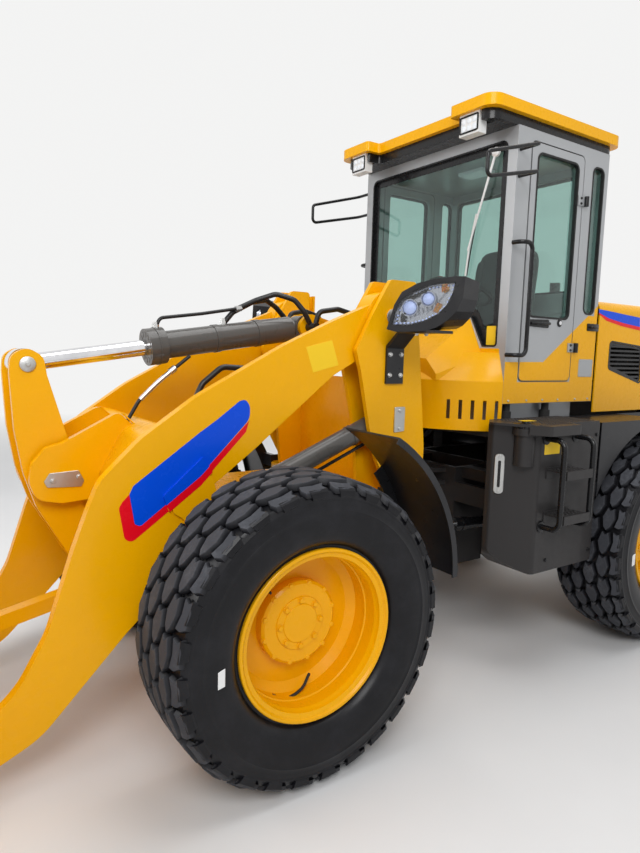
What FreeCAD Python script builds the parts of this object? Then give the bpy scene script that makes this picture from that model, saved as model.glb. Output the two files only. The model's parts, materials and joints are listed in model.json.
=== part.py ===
"""Compact articulated wheel loader, in millimetres.

While it is modelled, the origin is on the ground under the steering pivot:
+X points to the bucket, +Y to the driver's left, +Z up. The whole machine is
moved along X at the end, so that the origin is under the middle of its length.
"""
import FreeCAD, Part
import math
import os

from FreeCAD import Vector

# Wheels and axles
WHEEL_BASE = 2450.0
TRACK = 1600.0
TYRE_RADIUS = 590.0
TYRE_WIDTH = 400.0
TYRE_BORE_GAP = 0.6
LUGS = 28
LUG_SHARE = 0.76
LUG_FLANK_SHARE = 0.07
LUG_HEIGHT = 22.0
LUG_ROOT = 6.0
CENTRE_GROOVE = 12.0
TYRE_SHOULDER = 12.0
TYRE_FLANGE_GAP = 12.0
TYRE_BULGE = 95.0
RIM_WIDTH = 330.0
RIM_SEAT_RADIUS = 303.0
RIM_FLANGE_RADIUS = 330.0
RIM_WALL = 15.0
RIM_FLANGE = 15.0
DISC_INSET = 25.0
DISC_THICKNESS = 20.0
HUB_COVER_RADIUS = 165.0
HUB_COVER_FACE = 34.0
SPINDLE_RADIUS = 60.0
DRUM_RADIUS = 140.0
AXLE_TUBE_RADIUS = 80.0
DIFFERENTIAL_RADIUS = 175.0
MOVING_GAP = 5.0
PIN_GAP = 0.4

# Steering pivot
STEER_PIN_RADIUS = 40.0
STEER_EAR_RADIUS = 90.0
STEER_EAR_THICKNESS = 40.0
STEER_FORK_THICKNESS = 25.0
STEER_EAR_HEIGHTS = (460.0, 920.0)

# Front frame and tower
FRONT_FRAME_REAR = 250.0
FRONT_FRAME_FRONT = 1480.0
FRONT_FRAME_HALF_WIDTH = 300.0
FRAME_PLATE = 25.0
FRONT_FRAME_BOTTOM = 430.0
FRONT_FRAME_TOP = 960.0
TOWER_TOP = 1968.0
TOWER_OUTER_FACE = 510.0
TOWER_INNER_FACE = 355.0
TOWER_INNER_REAR = 450.0
TILT_STAY = (47.0, 70.0)

# Boom, bucket linkage and their pins, each as (x, z)
BOOM_PIVOT = (555.0, 1800.0)
BUCKET_PIVOT = (2370.0, 200.0)
CRANK_PIVOT = (1965.0, 1080.0)
CRANK_TOP_PIN = (2050.0, 1550.0)
CRANK_LOW_PIN = (1750.0, 580.0)
BUCKET_LINK_PIN = (2480.0, 425.0)
TILT_BASE_PIN = (730.0, 1750.0)
LIFT_BASE_PIN = (500.0, 1330.0)
LIFT_ROD_PIN = (1480.0, 930.0)
ARM_CENTRE = 450.0
ARM_THICKNESS = 45.0
BOOM_PIN_RADIUS = 35.0
BOOM_BOSS_RADIUS = 115.0
BUCKET_BOSS_RADIUS = 85.0
CRANK_HALF_WIDTH = 110.0
CRANK_PLATE = 30.0
CRANK_PIN_RADIUS = 40.0
EAR_INNER_FACE = 130.0
EAR_THICKNESS = 35.0
LINK_HALF_WIDTH = 30.0
LINK_HEIGHT = 62.0
LINK_EYE_RADIUS = 55.0
LINK_PIN_RADIUS = 25.0

# Cylinders
LIFT_CENTRE = 432.0
LIFT_BARREL_RADIUS = 46.0
LIFT_ROD_RADIUS = 25.0
LIFT_BARREL_END = 820.0
TILT_BARREL_RADIUS = 62.5
TILT_ROD_RADIUS = 35.0
TILT_BARREL_END = 823.0
GLAND_STEP = 5.0
TILT_GLAND_STEP = 20.0
BARREL_WALL = 9.0
PIPE_RADIUS = 8.0
HOSE_RADIUS = 13.0
CYLINDER_PIN_RADIUS = 25.0
STEER_CYLINDER_HEIGHT = 690.0
STEER_BARREL_RADIUS = 32.0
STEER_ROD_RADIUS = 17.0
STEER_BARREL_END = 520.0
STEER_REAR_PIN = (-600.0, 455.0)
STEER_FRONT_PIN = (180.0, 300.0)

# Bucket
BUCKET_HALF_WIDTH = 1075.0
BUCKET_PLATE = 14.0
BUCKET_SIDE_PLATE = 20.0
BUCKET_TIP = 3320.0
BUCKET_BACK = 2590.0
BUCKET_TOP = 930.0

# Rear frame
REAR_FRAME_HALF_WIDTH = 350.0
NECK_HALF_WIDTH = 240.0
NECK_FRONT = -200.0
NECK_REAR = -450.0
NECK_BOTTOM = 400.0
NECK_TOP = 985.0
REAR_FRAME_REAR = -2150.0
REAR_FRAME_BOTTOM = 430.0
REAR_FRAME_TOP = 1000.0
DECK_TOP = 1240.0
ENGINE_FRONT = -1020.0

# Cab
CAB_FRONT = -140.0
CAB_REAR = -920.0
CAB_HALF_WIDTH = 600.0
CAB_TOP = 2775.0
CAB_WALL = 45.0
CAB_FLOOR = 40.0
CAB_SKIRT = 1385.0
CAB_BASE_INSET = 80.0
DOOR_OPENING_X = (-700.0, -245.0)
DOOR_OPENING_Z = (1500.0, 2725.0)
DOOR_GAP = 6.0
DOOR_FRONT_GAP = 11.0
WINDOW_SILL = 1840.0
GLASS = 6.0
GLASS_GAP = 0.5
ROOF_THICKNESS = 55.0
LINING_THICKNESS = 50.0
LINING_INSET = 30.0
ROOF_FRONT = 80.0
ROOF_REAR = -1010.0
ROOF_EAR = 334.0
WORK_LAMPS = (((0.0, 55.0), (385.0, 513.0)), ((0.0, 55.0), (-513.0, -385.0)))
ROOF_HALF_WIDTH = CAB_HALF_WIDTH + 20
DOOR_HINGE = (-715.0, CAB_HALF_WIDTH + 14)
HINGE_RADIUS = 12.0
DOOR_HINGE_HEIGHTS = (1690.0, 2487.0)
DOOR_FRAME = 42.0
DOOR_CORNER = 36.0
QUARTER_X = (-885.0, -775.0)
QUARTER_Z = (1880.0, 2690.0)
REAR_WINDOW_Z = (2020.0, 2690.0)
WINDOW_CORNER = 40.0

# Cowl before the cab, with a hump given as (y, z) at its wall and at its front
COWL_TOP = 1650.0
COWL_NOSE = 215.0
HUMP_FOOT = (445.0, 1630.0)
HUMP_TOP = (346.0, 1830.0)
HUMP_FRONT_FOOT = (370.0, 1530.0)
HUMP_FRONT_TOP = (290.0, 1610.0)
HUMP_FRONT = 120.0

# Hood, engine and counterweight
HOOD_FRONT = -945.0
MACHINE_REAR = REAR_FRAME_REAR - 400
HOOD_REAR = MACHINE_REAR + 50
HOOD_TAIL_FRONT = REAR_FRAME_REAR + 40
HOOD_TOP = 1970.0
HOOD_SIDE_BOTTOM = 1320.0
HOOD_REAR_BOTTOM = 1000.0
HOOD_CORNER = 140.0
HOOD_CROWN = 60.0
HOOD_SHEET = 8.0
HOOD_HINGE = (HOOD_FRONT + 10, HOOD_TOP - 2)
HOOD_HINGE_RADIUS = 9.0
HOOD_HINGE_PIN = 4.0
SIDE_GRILLE_X = (-1420.0, -1075.0)
SIDE_GRILLE_FOOT = (1490.0, 1580.0)
SIDE_GRILLE_TOP = (1710.0, 1735.0)
REAR_GRILLE_Y = (-400.0, 400.0)
REAR_GRILLE_Z = (1120.0, 1740.0)
GRILLE_GAP = 1.0

WEIGHT_BOTTOM = 560.0
WEIGHT_TOP = 990.0
TOW_PIN_X = MACHINE_REAR + 60
TOW_PIN_RADIUS = 20.0
TOW_SLOT = (700.0, 780.0)
TOW_BORE_TOP = 80.0

# Side tanks
TANK_INNER = CAB_HALF_WIDTH + 25
TANK_OUTER = TANK_INNER + 255
TANK_FRONT = 40.0
TANK_REAR = -600.0
TANK_BOTTOM = 560.0
TANK_TOP = 1300.0
FILLER = (-54.0, TANK_OUTER - 57)
FILLER_RADIUS = 50.0
FILLER_Z = (1105.0, 1255.0, 1295.0)
STEP_RAILS = (-145.0, -380.0)
RAIL_RADIUS = 14.0
PLATFORM = 48.0

# Headlights
LENS_TURN = 33.0
LENS_CENTRE = (620.0, 720.0)
LENS_SHARE = 0.992

# Fenders
FENDER_WALL = TRACK / 2 - TYRE_WIDTH / 2 - 25
FENDER_EDGE = TRACK / 2 + 150
FRONT_FENDER = (1224.0, 682.0)
FRONT_FENDER_RADIUS = 722.0

LUG_PITCH = 360.0 / LUGS
LUG_SPAN = LUG_PITCH * LUG_SHARE
# The two tread rows are half a pitch apart, so a lug's corner is what meets the ground.
AXLE_HEIGHT = TYRE_RADIUS * math.cos(math.radians((LUG_PITCH - LUG_SPAN) / 2))
FRONT_AXLE_X = WHEEL_BASE / 2
REAR_AXLE_X = -WHEEL_BASE / 2
ACROSS = Vector(0, 1, 0)
UP = Vector(0, 0, 1)

nodes = {}
os.makedirs("parts", exist_ok=True)


def add(name, *shapes):
    """Keep the solids of one named piece."""
    solids = [solid for shape in shapes for solid in shape.Solids]
    nodes[name] = Part.makeCompound(solids)


def fuse(*shapes):
    """One clean solid from overlapping or touching ones."""
    return shapes[0].multiFuse(list(shapes[1:])).removeSplitter()


def cut(body, *tools):
    return body.cut(list(tools)).removeSplitter()


def mirrored(shape):
    """The same form on the machine's other side."""
    return shape.mirror(Vector(0, 0, 0), ACROSS)


def box(x, y, z):
    """A block between the two ends of each range."""
    return Part.makeBox(x[1] - x[0], y[1] - y[0], z[1] - z[0], Vector(x[0], y[0], z[0]))


def outline_face(corners, place):
    """Flat face from corners (u, w) or (u, w, radius); place gives the point in space."""
    flat = [(c[0], c[1], c[2] if len(c) > 2 else 0.0) for c in corners]
    edges = []
    starts, ends, middles = [], [], []
    count = len(flat)
    for i, (u, w, radius) in enumerate(flat):
        here = Vector(u, w, 0)
        before = Vector(flat[i - 1][0], flat[i - 1][1], 0) - here
        after = Vector(flat[(i + 1) % count][0], flat[(i + 1) % count][1], 0) - here
        if radius <= 0:
            starts.append(here)
            ends.append(here)
            middles.append(None)
            continue
        room = 0.48 * min(before.Length, after.Length)
        before.normalize()
        after.normalize()
        half = before.getAngle(after) / 2
        reach = min(radius / math.tan(half), room)
        radius = reach * math.tan(half)
        towards = (before + after).normalize()
        starts.append(here + before * reach)
        ends.append(here + after * reach)
        middles.append(here + towards * (radius / math.sin(half) - radius))
    points = [[place(p.x, p.y) for p in row] for row in (starts, ends)]
    for i in range(count):
        if middles[i] is not None:
            middle = place(middles[i].x, middles[i].y)
            edges.append(Part.Arc(points[0][i], middle, points[1][i]).toShape())
        following = points[0][(i + 1) % count]
        if points[1][i].distanceToPoint(following) > 0.001:
            edges.append(Part.LineSegment(points[1][i], following).toShape())
    return Part.Face(Part.Wire(edges))


def rounded_box(u, w, radius, gap=0.0):
    """Corners of an opening or plate, drawn in by a gap."""
    u = (u[0] + gap, u[1] - gap)
    w = (w[0] + gap, w[1] - gap)
    return [(u[i], w[j], radius) for i, j in ((0, 0), (1, 0), (1, 1), (0, 1))]


def side_plate(corners, y):
    """Outline in X and Z, between two Y values."""
    face = outline_face(corners, lambda u, w: Vector(u, y[0], w))
    return face.extrude(Vector(0, y[1] - y[0], 0))


def level_plate(corners, z):
    """Outline in X and Y, between two heights."""
    face = outline_face(corners, lambda u, w: Vector(u, w, z[0]))
    return face.extrude(Vector(0, 0, z[1] - z[0]))


def cross_plate(corners, x):
    """Outline in Y and Z, between two X values."""
    face = outline_face(corners, lambda u, w: Vector(x[0], u, w))
    return face.extrude(Vector(x[1] - x[0], 0, 0))


def rod(start, end, radius):
    """Round bar from one point to another."""
    along = end - start
    return Part.makeCylinder(radius, along.Length, start, along)


def pin(at, y, radius):
    """Round bar across the machine at an (x, z) point."""
    return Part.makeCylinder(radius, y[1] - y[0], Vector(at[0], y[0], at[1]), ACROSS)


def post(at, z, radius):
    """Round upright bar at an (x, y) point."""
    return Part.makeCylinder(radius, z[1] - z[0], Vector(at[0], at[1], z[0]), UP)


def turned(profile, centre):
    """Ring or disc from a closed (y, radius) profile, about an axis across the machine."""
    corners = [centre + Vector(0, y, radius) for y, radius in profile]
    face = Part.Face(Part.makePolygon(corners + corners[:1]))
    return face.revolve(centre, ACROSS, 360)


def bent_tube(points, radius, bend):
    """Round tube along straight runs that are joined by arcs of one radius."""
    pieces = []
    last = points[0]
    for before, here, after in zip(points, points[1:], points[2:]):
        back = (before - here).normalize()
        on = (after - here).normalize()
        half = back.getAngle(on) / 2
        reach = bend / math.tan(half)
        start = here + back * reach
        centre = here + (back + on).normalize() * (bend / math.sin(half))
        disc = Part.Face(Part.Wire(Part.makeCircle(radius, start, back)))
        pieces.append(rod(last, start, radius))
        pieces.append(disc.revolve(centre, on.cross(back), math.degrees(math.pi - 2 * half)))
        last = here + on * reach
    pieces.append(rod(last, points[-1], radius))
    return fuse(*pieces)


def lug_outline(shift, y):
    """Gear-like outline of one tread row about the wheel's axis."""
    flank = LUG_PITCH * LUG_FLANK_SHARE
    floor_radius = TYRE_RADIUS - LUG_HEIGHT
    steps = (
        (-LUG_SPAN / 2, TYRE_RADIUS),
        (LUG_SPAN / 2, TYRE_RADIUS),
        (LUG_SPAN / 2 + flank, floor_radius),
        (LUG_PITCH - LUG_SPAN / 2 - flank, floor_radius),
    )
    corners = []
    for lug in range(LUGS):
        for turn, radius in steps:
            angle = math.radians(lug * LUG_PITCH + shift + turn - 90)
            corners.append(Vector(radius * math.cos(angle), y, radius * math.sin(angle)))
    return Part.Face(Part.makePolygon(corners + corners[:1]))


def faceted_ring(profile):
    """Ring about the Y axis with flat sides, one to a lug, from a closed (y, radius) profile."""
    sides = []
    for y, radius in profile:
        reach = radius / math.cos(math.pi / LUGS)
        angles = [math.radians((side - 0.5) * LUG_PITCH - 90) for side in range(LUGS + 1)]
        sides.append([Vector(reach * math.cos(a), y, reach * math.sin(a)) for a in angles])
    faces = []
    for near, far in zip(sides, sides[1:] + sides[:1]):
        for i in range(LUGS):
            corners = [near[i], near[i + 1], far[i + 1], far[i], near[i]]
            faces.append(Part.Face(Part.makePolygon(corners)))
    return Part.Solid(Part.Shell(faces))


def make_tyre():
    """Tyre about the Y axis: two staggered rows of lugs on a flat-sided wall."""
    half = TYRE_WIDTH / 2
    bead = RIM_WIDTH / 2 - RIM_FLANGE - 1
    floor_radius = TYRE_RADIUS - LUG_HEIGHT
    wall = (
        (bead, RIM_SEAT_RADIUS + TYRE_BORE_GAP),
        (bead, RIM_FLANGE_RADIUS + TYRE_FLANGE_GAP),
        (half, RIM_FLANGE_RADIUS + TYRE_BULGE),
        (half - TYRE_SHOULDER, floor_radius - TYRE_SHOULDER),
        (half - TYRE_SHOULDER, floor_radius - LUG_ROOT),
    )
    carcass = faceted_ring(list(wall) + [(-y, radius) for y, radius in reversed(wall)])
    reach = half - TYRE_SHOULDER
    room = Part.makeCylinder(floor_radius - 2 * LUG_ROOT, TYRE_WIDTH, Vector(0, -half, 0), ACROSS)
    across = Vector(0, reach - CENTRE_GROOVE / 2, 0)
    outer_row = lug_outline(0, CENTRE_GROOVE / 2).extrude(across)
    inner_row = lug_outline(LUG_PITCH / 2, -reach).extrude(across)
    return fuse(carcass, outer_row.cut(room), inner_row.cut(room))


def make_rim():
    """Rim, disc and planetary cover of a left wheel, about the Y axis."""
    half = RIM_WIDTH / 2
    inner = RIM_SEAT_RADIUS - RIM_WALL
    disc_back = -DISC_INSET - DISC_THICKNESS
    profile = (
        (HUB_COVER_FACE, 0),
        (HUB_COVER_FACE, 74),
        (HUB_COVER_FACE - 4, 77),
        (HUB_COVER_FACE - 4, 104),
        (HUB_COVER_FACE - 9, 106),
        (HUB_COVER_FACE - 9, HUB_COVER_RADIUS - 11),
        (HUB_COVER_FACE - 18, HUB_COVER_RADIUS),
        (-DISC_INSET, HUB_COVER_RADIUS),
        (-DISC_INSET, inner - 34),
        (-DISC_INSET + 26, inner),
        (half - 108, inner),
        (half - 104, inner - 5),
        (half - 96, inner - 5),
        (half - 92, inner),
        (half - 40, inner),
        (half - 26, inner + 5),
        (half - 14, inner + 7),
        (half - 9, RIM_FLANGE_RADIUS - 19),
        (half, RIM_FLANGE_RADIUS - 12),
        (half, RIM_FLANGE_RADIUS - 3),
        (half - 3, RIM_FLANGE_RADIUS),
        (half - RIM_FLANGE, RIM_FLANGE_RADIUS),
        (half - RIM_FLANGE, RIM_SEAT_RADIUS),
        (-half + RIM_FLANGE, RIM_SEAT_RADIUS),
        (-half + RIM_FLANGE, RIM_FLANGE_RADIUS),
        (-half, RIM_FLANGE_RADIUS),
        (-half, inner),
        (disc_back, inner),
        (disc_back, DRUM_RADIUS),
        (disc_back - 15, DRUM_RADIUS),
        (disc_back - 15, SPINDLE_RADIUS + PIN_GAP),
        (0, SPINDLE_RADIUS + PIN_GAP),
        (0, 0),
    )
    return turned(profile, Vector(0, 0, 0))


def make_wheels():
    tyre, rim = make_tyre(), make_rim()
    for end, x in (("front", FRONT_AXLE_X), ("rear", REAR_AXLE_X)):
        for side, sign in (("left", 1), ("right", -1)):
            centre = Vector(x, sign * TRACK / 2, AXLE_HEIGHT)
            for piece, shape in (("tyre", tyre), ("rim", rim)):
                shape = shape if sign > 0 else mirrored(shape)
                add(f"{piece}_{end}_{side}", shape.translated(centre))


def make_axle(x, towards):
    """Housing with differential, brake drums and spindles; the pinion nose points inwards."""
    back_of_wheel = TRACK / 2 - DISC_INSET - DISC_THICKNESS - 15
    half = (
        (DIFFERENTIAL_RADIUS * 0.5, DIFFERENTIAL_RADIUS),
        (DIFFERENTIAL_RADIUS, AXLE_TUBE_RADIUS + 15),
        (back_of_wheel - 175, AXLE_TUBE_RADIUS),
        (back_of_wheel - 135, DRUM_RADIUS),
        (back_of_wheel - MOVING_GAP, DRUM_RADIUS),
        (back_of_wheel - MOVING_GAP, SPINDLE_RADIUS),
        (TRACK / 2 - MOVING_GAP, SPINDLE_RADIUS),
        (TRACK / 2 - MOVING_GAP, 0),
    )
    profile = list(half) + [(-y, radius) for y, radius in reversed(half)]
    centre = Vector(x, 0, AXLE_HEIGHT)
    housing = turned(profile, centre)
    nose_end = centre + Vector(towards * 330, 0, 0)
    nose = Part.makeCone(130, 70, 330, centre, nose_end - centre)
    flange = rod(nose_end, nose_end + Vector(towards * 20, 0, 0), 62)
    return fuse(housing, nose, flange)


def make_axles():
    pad_top = {1: 760.0, -1: 740.0}
    for name, x, towards in (("front_axle", FRONT_AXLE_X, -1), ("rear_axle", REAR_AXLE_X, 1)):
        top = pad_top[-towards]
        pads = []
        for sign in (1, -1):
            pads.append(box((x - 90, x + 90), sorted((sign * 240, sign * 345)), (AXLE_HEIGHT, top)))
        add(name, fuse(make_axle(x, towards), *pads))


def make_drive_shafts():
    """Two shaft halves that meet in a joint under the steering pivot."""
    halves = (("drive_shaft_front", 1, FRONT_AXLE_X - 350), ("drive_shaft_rear", -1, 350))
    for name, sign, far in halves:
        near = Vector(sign * 62, 0, AXLE_HEIGHT)
        end = Vector(sign * far, 0, AXLE_HEIGHT)
        shaft = rod(near, end, 34)
        yoke = rod(near, near + Vector(sign * 45, 0, 0), 52)
        flange = rod(end - Vector(sign * 18, 0, 0), end, 60)
        add(name, fuse(shaft, yoke, flange))


def pivot_plate(far, half_width, z):
    """Tapered ear from a cross wall at X = far to the steering pivot."""
    near = STEER_EAR_RADIUS
    taper = level_plate(((far, half_width), (far, -half_width), (0, -near), (0, near)), z)
    return fuse(taper, post((0, 0), z, near))


def steer_lug(at, wall, height):
    """Two cheeks beside a steering cylinder's eye, with the pin's halves in them."""
    sign = 1 if at[1] > 0 else -1
    cheeks = []
    for z in ((height - 40, height - 23), (height + 23, height + 40)):
        arm = box(sorted((at[0], wall)), (at[1] - 38, at[1] + 38), z)
        cheeks.append(fuse(arm, post(at, z, 38)))
    return cheeks


def make_front_frame():
    outer = (TOWER_OUTER_FACE - FRAME_PLATE, TOWER_OUTER_FACE)
    inner = (TOWER_INNER_FACE, TOWER_INNER_FACE + FRAME_PLATE)
    outer_outline = (
        (568, TOWER_TOP, 20), (671, 1802, 60), (756, 1642, 30), (723, 1543, 60), (663, 1282, 200),
        (615, 1130, 200), (547, 1008, 200), (479, 862, 20), (330, 820, 20), (315, 1168, 300),
        (377, 1692, 300), (412, TOWER_TOP, 20),
    )
    inner_outline = (
        (568, TOWER_TOP, 20), (671, 1802, 60), (756, 1642, 30), (723, 1543, 60), (655, 1282, 200),
        (620, FRONT_FRAME_TOP - 10), (TOWER_INNER_REAR, FRONT_FRAME_TOP - 10),
        (TOWER_INNER_REAR, TOWER_TOP, 20),
    )
    stay_outline = ((530, 1580), (700, 1650, 60), (800, 1750, 70), (730, 1822, 60), (530, 1770))
    base_outline = (
        (FRONT_FRAME_REAR, FRONT_FRAME_BOTTOM), (880, FRONT_FRAME_BOTTOM, 60), (1010, 760, 60),
        (1380, 760, 40), (FRONT_FRAME_FRONT, 860, 40), (FRONT_FRAME_FRONT, FRONT_FRAME_TOP),
        (FRONT_FRAME_REAR, FRONT_FRAME_TOP),
    )
    half = FRONT_FRAME_HALF_WIDTH
    pieces = []
    for sign in (1, -1):
        def span(y):
            return tuple(sorted((sign * y[0], sign * y[1])))
        pieces.append(side_plate(outer_outline, span(outer)))
        pieces.append(side_plate(inner_outline, span(inner)))
        pieces.append(side_plate(base_outline, span((half - FRAME_PLATE, half))))
        boom_pin = span((TOWER_INNER_FACE, TOWER_OUTER_FACE + 4))
        lift_pin = span((TOWER_INNER_FACE, TOWER_OUTER_FACE + 2))
        tower = span((TOWER_INNER_FACE, TOWER_OUTER_FACE))
        pieces.append(pin(BOOM_PIVOT, boom_pin, BOOM_PIN_RADIUS))
        pieces.append(pin(LIFT_BASE_PIN, lift_pin, CYLINDER_PIN_RADIUS))
        pieces.append(box((412, 424), tower, (1420, TOWER_TOP - 20)))
        pieces.append(pin(TILT_BASE_PIN, span((0, TILT_STAY[1])), CYLINDER_PIN_RADIUS + 8))
        pieces.append(side_plate(stay_outline, span(TILT_STAY)))
        steer_pin = (STEER_FRONT_PIN[0], sign * STEER_FRONT_PIN[1])
        pieces += steer_lug(steer_pin, FRONT_FRAME_REAR + 10, STEER_CYLINDER_HEIGHT)
    edge = half - 5
    deck = level_plate(
        ((FRONT_FRAME_REAR, -half), (320, -TOWER_OUTER_FACE, 30), (600, -TOWER_OUTER_FACE, 60),
         (700, -edge, 60), (FRONT_FRAME_FRONT, -edge), (FRONT_FRAME_FRONT, edge), (700, edge, 60),
         (600, TOWER_OUTER_FACE, 60), (320, TOWER_OUTER_FACE, 30), (FRONT_FRAME_REAR, half)),
        (FRONT_FRAME_TOP - FRAME_PLATE, FRONT_FRAME_TOP))
    wide, tower_width = (-half, half), (-TOWER_INNER_FACE - 5, TOWER_INNER_FACE + 5)
    rear_wall = box(
        (FRONT_FRAME_REAR, FRONT_FRAME_REAR + FRAME_PLATE), wide, (FRONT_FRAME_BOTTOM, FRONT_FRAME_TOP))
    front_wall = box((FRONT_FRAME_FRONT - FRAME_PLATE, FRONT_FRAME_FRONT), wide, (870, FRONT_FRAME_TOP))
    tilt_beam = box((520, 640), tower_width, (1610, 1780))
    lower_wall = box((470, 490), tower_width, (FRONT_FRAME_TOP - 5, 1500))
    ears = []
    for height in STEER_EAR_HEIGHTS:
        z = (height - STEER_EAR_THICKNESS / 2, height + STEER_EAR_THICKNESS / 2)
        ears.append(pivot_plate(FRONT_FRAME_REAR + 10, 150, z))
    bores = post((0, 0), (0, FRONT_FRAME_TOP + 100), STEER_PIN_RADIUS + PIN_GAP)
    shaft_start = Vector(FRONT_FRAME_REAR - 50, 0, AXLE_HEIGHT)
    shaft_hole = rod(shaft_start, shaft_start + Vector(130, 0, 0), 90)
    frame = fuse(deck, rear_wall, front_wall, tilt_beam, lower_wall, *ears, *pieces)
    add("front_frame", cut(frame, bores, shaft_hole))


def make_rear_frame():
    half = REAR_FRAME_HALF_WIDTH
    outline = (
        (NECK_REAR, REAR_FRAME_BOTTOM, 30), (-760, REAR_FRAME_BOTTOM, 60), (-960, 740, 60),
        (-1490, 740, 60), (-1620, 560, 60), (REAR_FRAME_REAR, 560), (REAR_FRAME_REAR, REAR_FRAME_TOP),
        (NECK_REAR, REAR_FRAME_TOP),
    )
    neck = (
        (NECK_REAR - 10, NECK_BOTTOM), (NECK_FRONT, NECK_BOTTOM), (NECK_FRONT, NECK_TOP),
        (NECK_REAR - 10, NECK_TOP),
    )
    outer = CAB_HALF_WIDTH - 40
    lug_wall = STEER_REAR_PIN[0] - 60
    pieces = []
    for sign in (1, -1):
        def span(y):
            return tuple(sorted((sign * y[0], sign * y[1])))
        pieces.append(side_plate(outline, span((half - FRAME_PLATE, half))))
        pieces.append(side_plate(neck, span((NECK_HALF_WIDTH - FRAME_PLATE, NECK_HALF_WIDTH))))
        bracket = span((NECK_HALF_WIDTH - 20, TANK_INNER))
        pieces.append(box((NECK_FRONT - 40, NECK_FRONT), bracket, (790, 900)))
        pieces.append(box((-590, -550), span((half - 10, TANK_INNER)), (790, 900)))
        for x, inner in ((-300, NECK_HALF_WIDTH - 15), (-840, half - 20)):
            pieces.append(box((x - 40, x + 40), span((inner, outer)), (920, NECK_TOP)))
            pieces.append(box((x - 40, x + 40), span((outer - 90, outer)), (NECK_TOP - 5, DECK_TOP - 30)))
        pieces += steer_lug((STEER_REAR_PIN[0], sign * STEER_REAR_PIN[1]), lug_wall, STEER_CYLINDER_HEIGHT)
        reach = span((half - 10, STEER_REAR_PIN[1] + 38))
        pieces.append(box((lug_wall - 20, lug_wall + 10), reach, (640, 740)))
        for x in (-1540, -940):
            pieces.append(box((x - 40, x + 40), span((half - 10, FENDER_WALL)), (960, REAR_FRAME_TOP)))
    neck_wall = (-NECK_HALF_WIDTH, NECK_HALF_WIDTH)
    neck_front = box((NECK_FRONT - FRAME_PLATE, NECK_FRONT), neck_wall, (NECK_BOTTOM, NECK_TOP))
    neck_rear = box((NECK_REAR - FRAME_PLATE, NECK_REAR), (-half, half), (REAR_FRAME_BOTTOM, REAR_FRAME_TOP))
    tail = box((REAR_FRAME_REAR, REAR_FRAME_REAR + FRAME_PLATE), (-half, half), (560, REAR_FRAME_TOP))
    side = CAB_HALF_WIDTH - 25
    deck = level_plate(
        ((-900, -side, 20), (-90, -side, 20), (-60, -300, 60), (-60, 300, 60), (-90, side, 20),
         (-900, side, 20)),
        (DECK_TOP - 30, DECK_TOP))
    ears = []
    for height in STEER_EAR_HEIGHTS:
        for side in (-1, 1):
            near = height + side * (STEER_EAR_THICKNESS / 2 + MOVING_GAP)
            z = tuple(sorted((near, near + side * STEER_FORK_THICKNESS)))
            ears.append(pivot_plate(NECK_FRONT - 10, 170, z))
        reach = STEER_EAR_THICKNESS / 2 + MOVING_GAP + STEER_FORK_THICKNESS
        ears.append(post((0, 0), (height - reach, height + reach), STEER_PIN_RADIUS))
    shaft_hole = Part.makeCylinder(95, 400, Vector(NECK_REAR - 100, 0, AXLE_HEIGHT), Vector(1, 0, 0))
    frame = fuse(neck_front, neck_rear, tail, *ears, *pieces)
    add("rear_frame", cut(frame, shaft_hole))
    mounts = []
    mount_y = CAB_HALF_WIDTH - CAB_BASE_INSET + 32
    for x in (-230, -560):
        for sign in (1, -1):
            mounts.append(post((x, sign * mount_y), (DECK_TOP - 5, CAB_SKIRT), 20))
            mounts.append(post((x, sign * mount_y), (DECK_TOP + 40, DECK_TOP + 100), 28))
    add("cab_deck", fuse(deck, *mounts))


def make_engine_and_counterweight():
    add("engine_block", box((REAR_FRAME_REAR + 120, ENGINE_FRONT), (-260, 260), (790, 1480)))
    gearbox_front = NECK_REAR - FRAME_PLATE - MOVING_GAP
    add("transmission", box((gearbox_front - 390, gearbox_front), (-200, 200), (470, 900)))
    add("radiator", box((REAR_FRAME_REAR - 250, REAR_FRAME_REAR - 110), (-400, 400), (1020, 1760)))
    half = CAB_HALF_WIDTH - 10
    weight = level_plate(
        ((MACHINE_REAR, -half, 170), (MACHINE_REAR, half, 170), (REAR_FRAME_REAR, half),
         (REAR_FRAME_REAR, -half)),
        (WEIGHT_BOTTOM, WEIGHT_TOP))
    tow_slot = box((MACHINE_REAR - 10, TOW_PIN_X + 70), (-75, 75), TOW_SLOT)
    tow_bore = post((TOW_PIN_X, 0), (TOW_SLOT[0] - 200, TOW_SLOT[1] + TOW_BORE_TOP), TOW_PIN_RADIUS)
    add("counterweight", cut(weight, tow_slot, tow_bore))


def windshield(gap):
    """Outline of the windshield's opening over the cowl's hump, drawn in by a gap."""
    wide, high, low = CAB_HALF_WIDTH - 60 - gap, 2720 - gap, COWL_TOP + 30 + gap
    foot, knee, sill = HUMP_FOOT[0] - 5 + gap, HUMP_TOP[0] + 4 + gap, HUMP_TOP[1] + 10 + gap
    return (
        (-wide, high, WINDOW_CORNER), (wide, high, WINDOW_CORNER), (wide, low, 20), (foot, low),
        (knee, sill, 20), (-knee, sill, 20), (-foot, low), (-wide, low, 20),
    )


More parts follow.
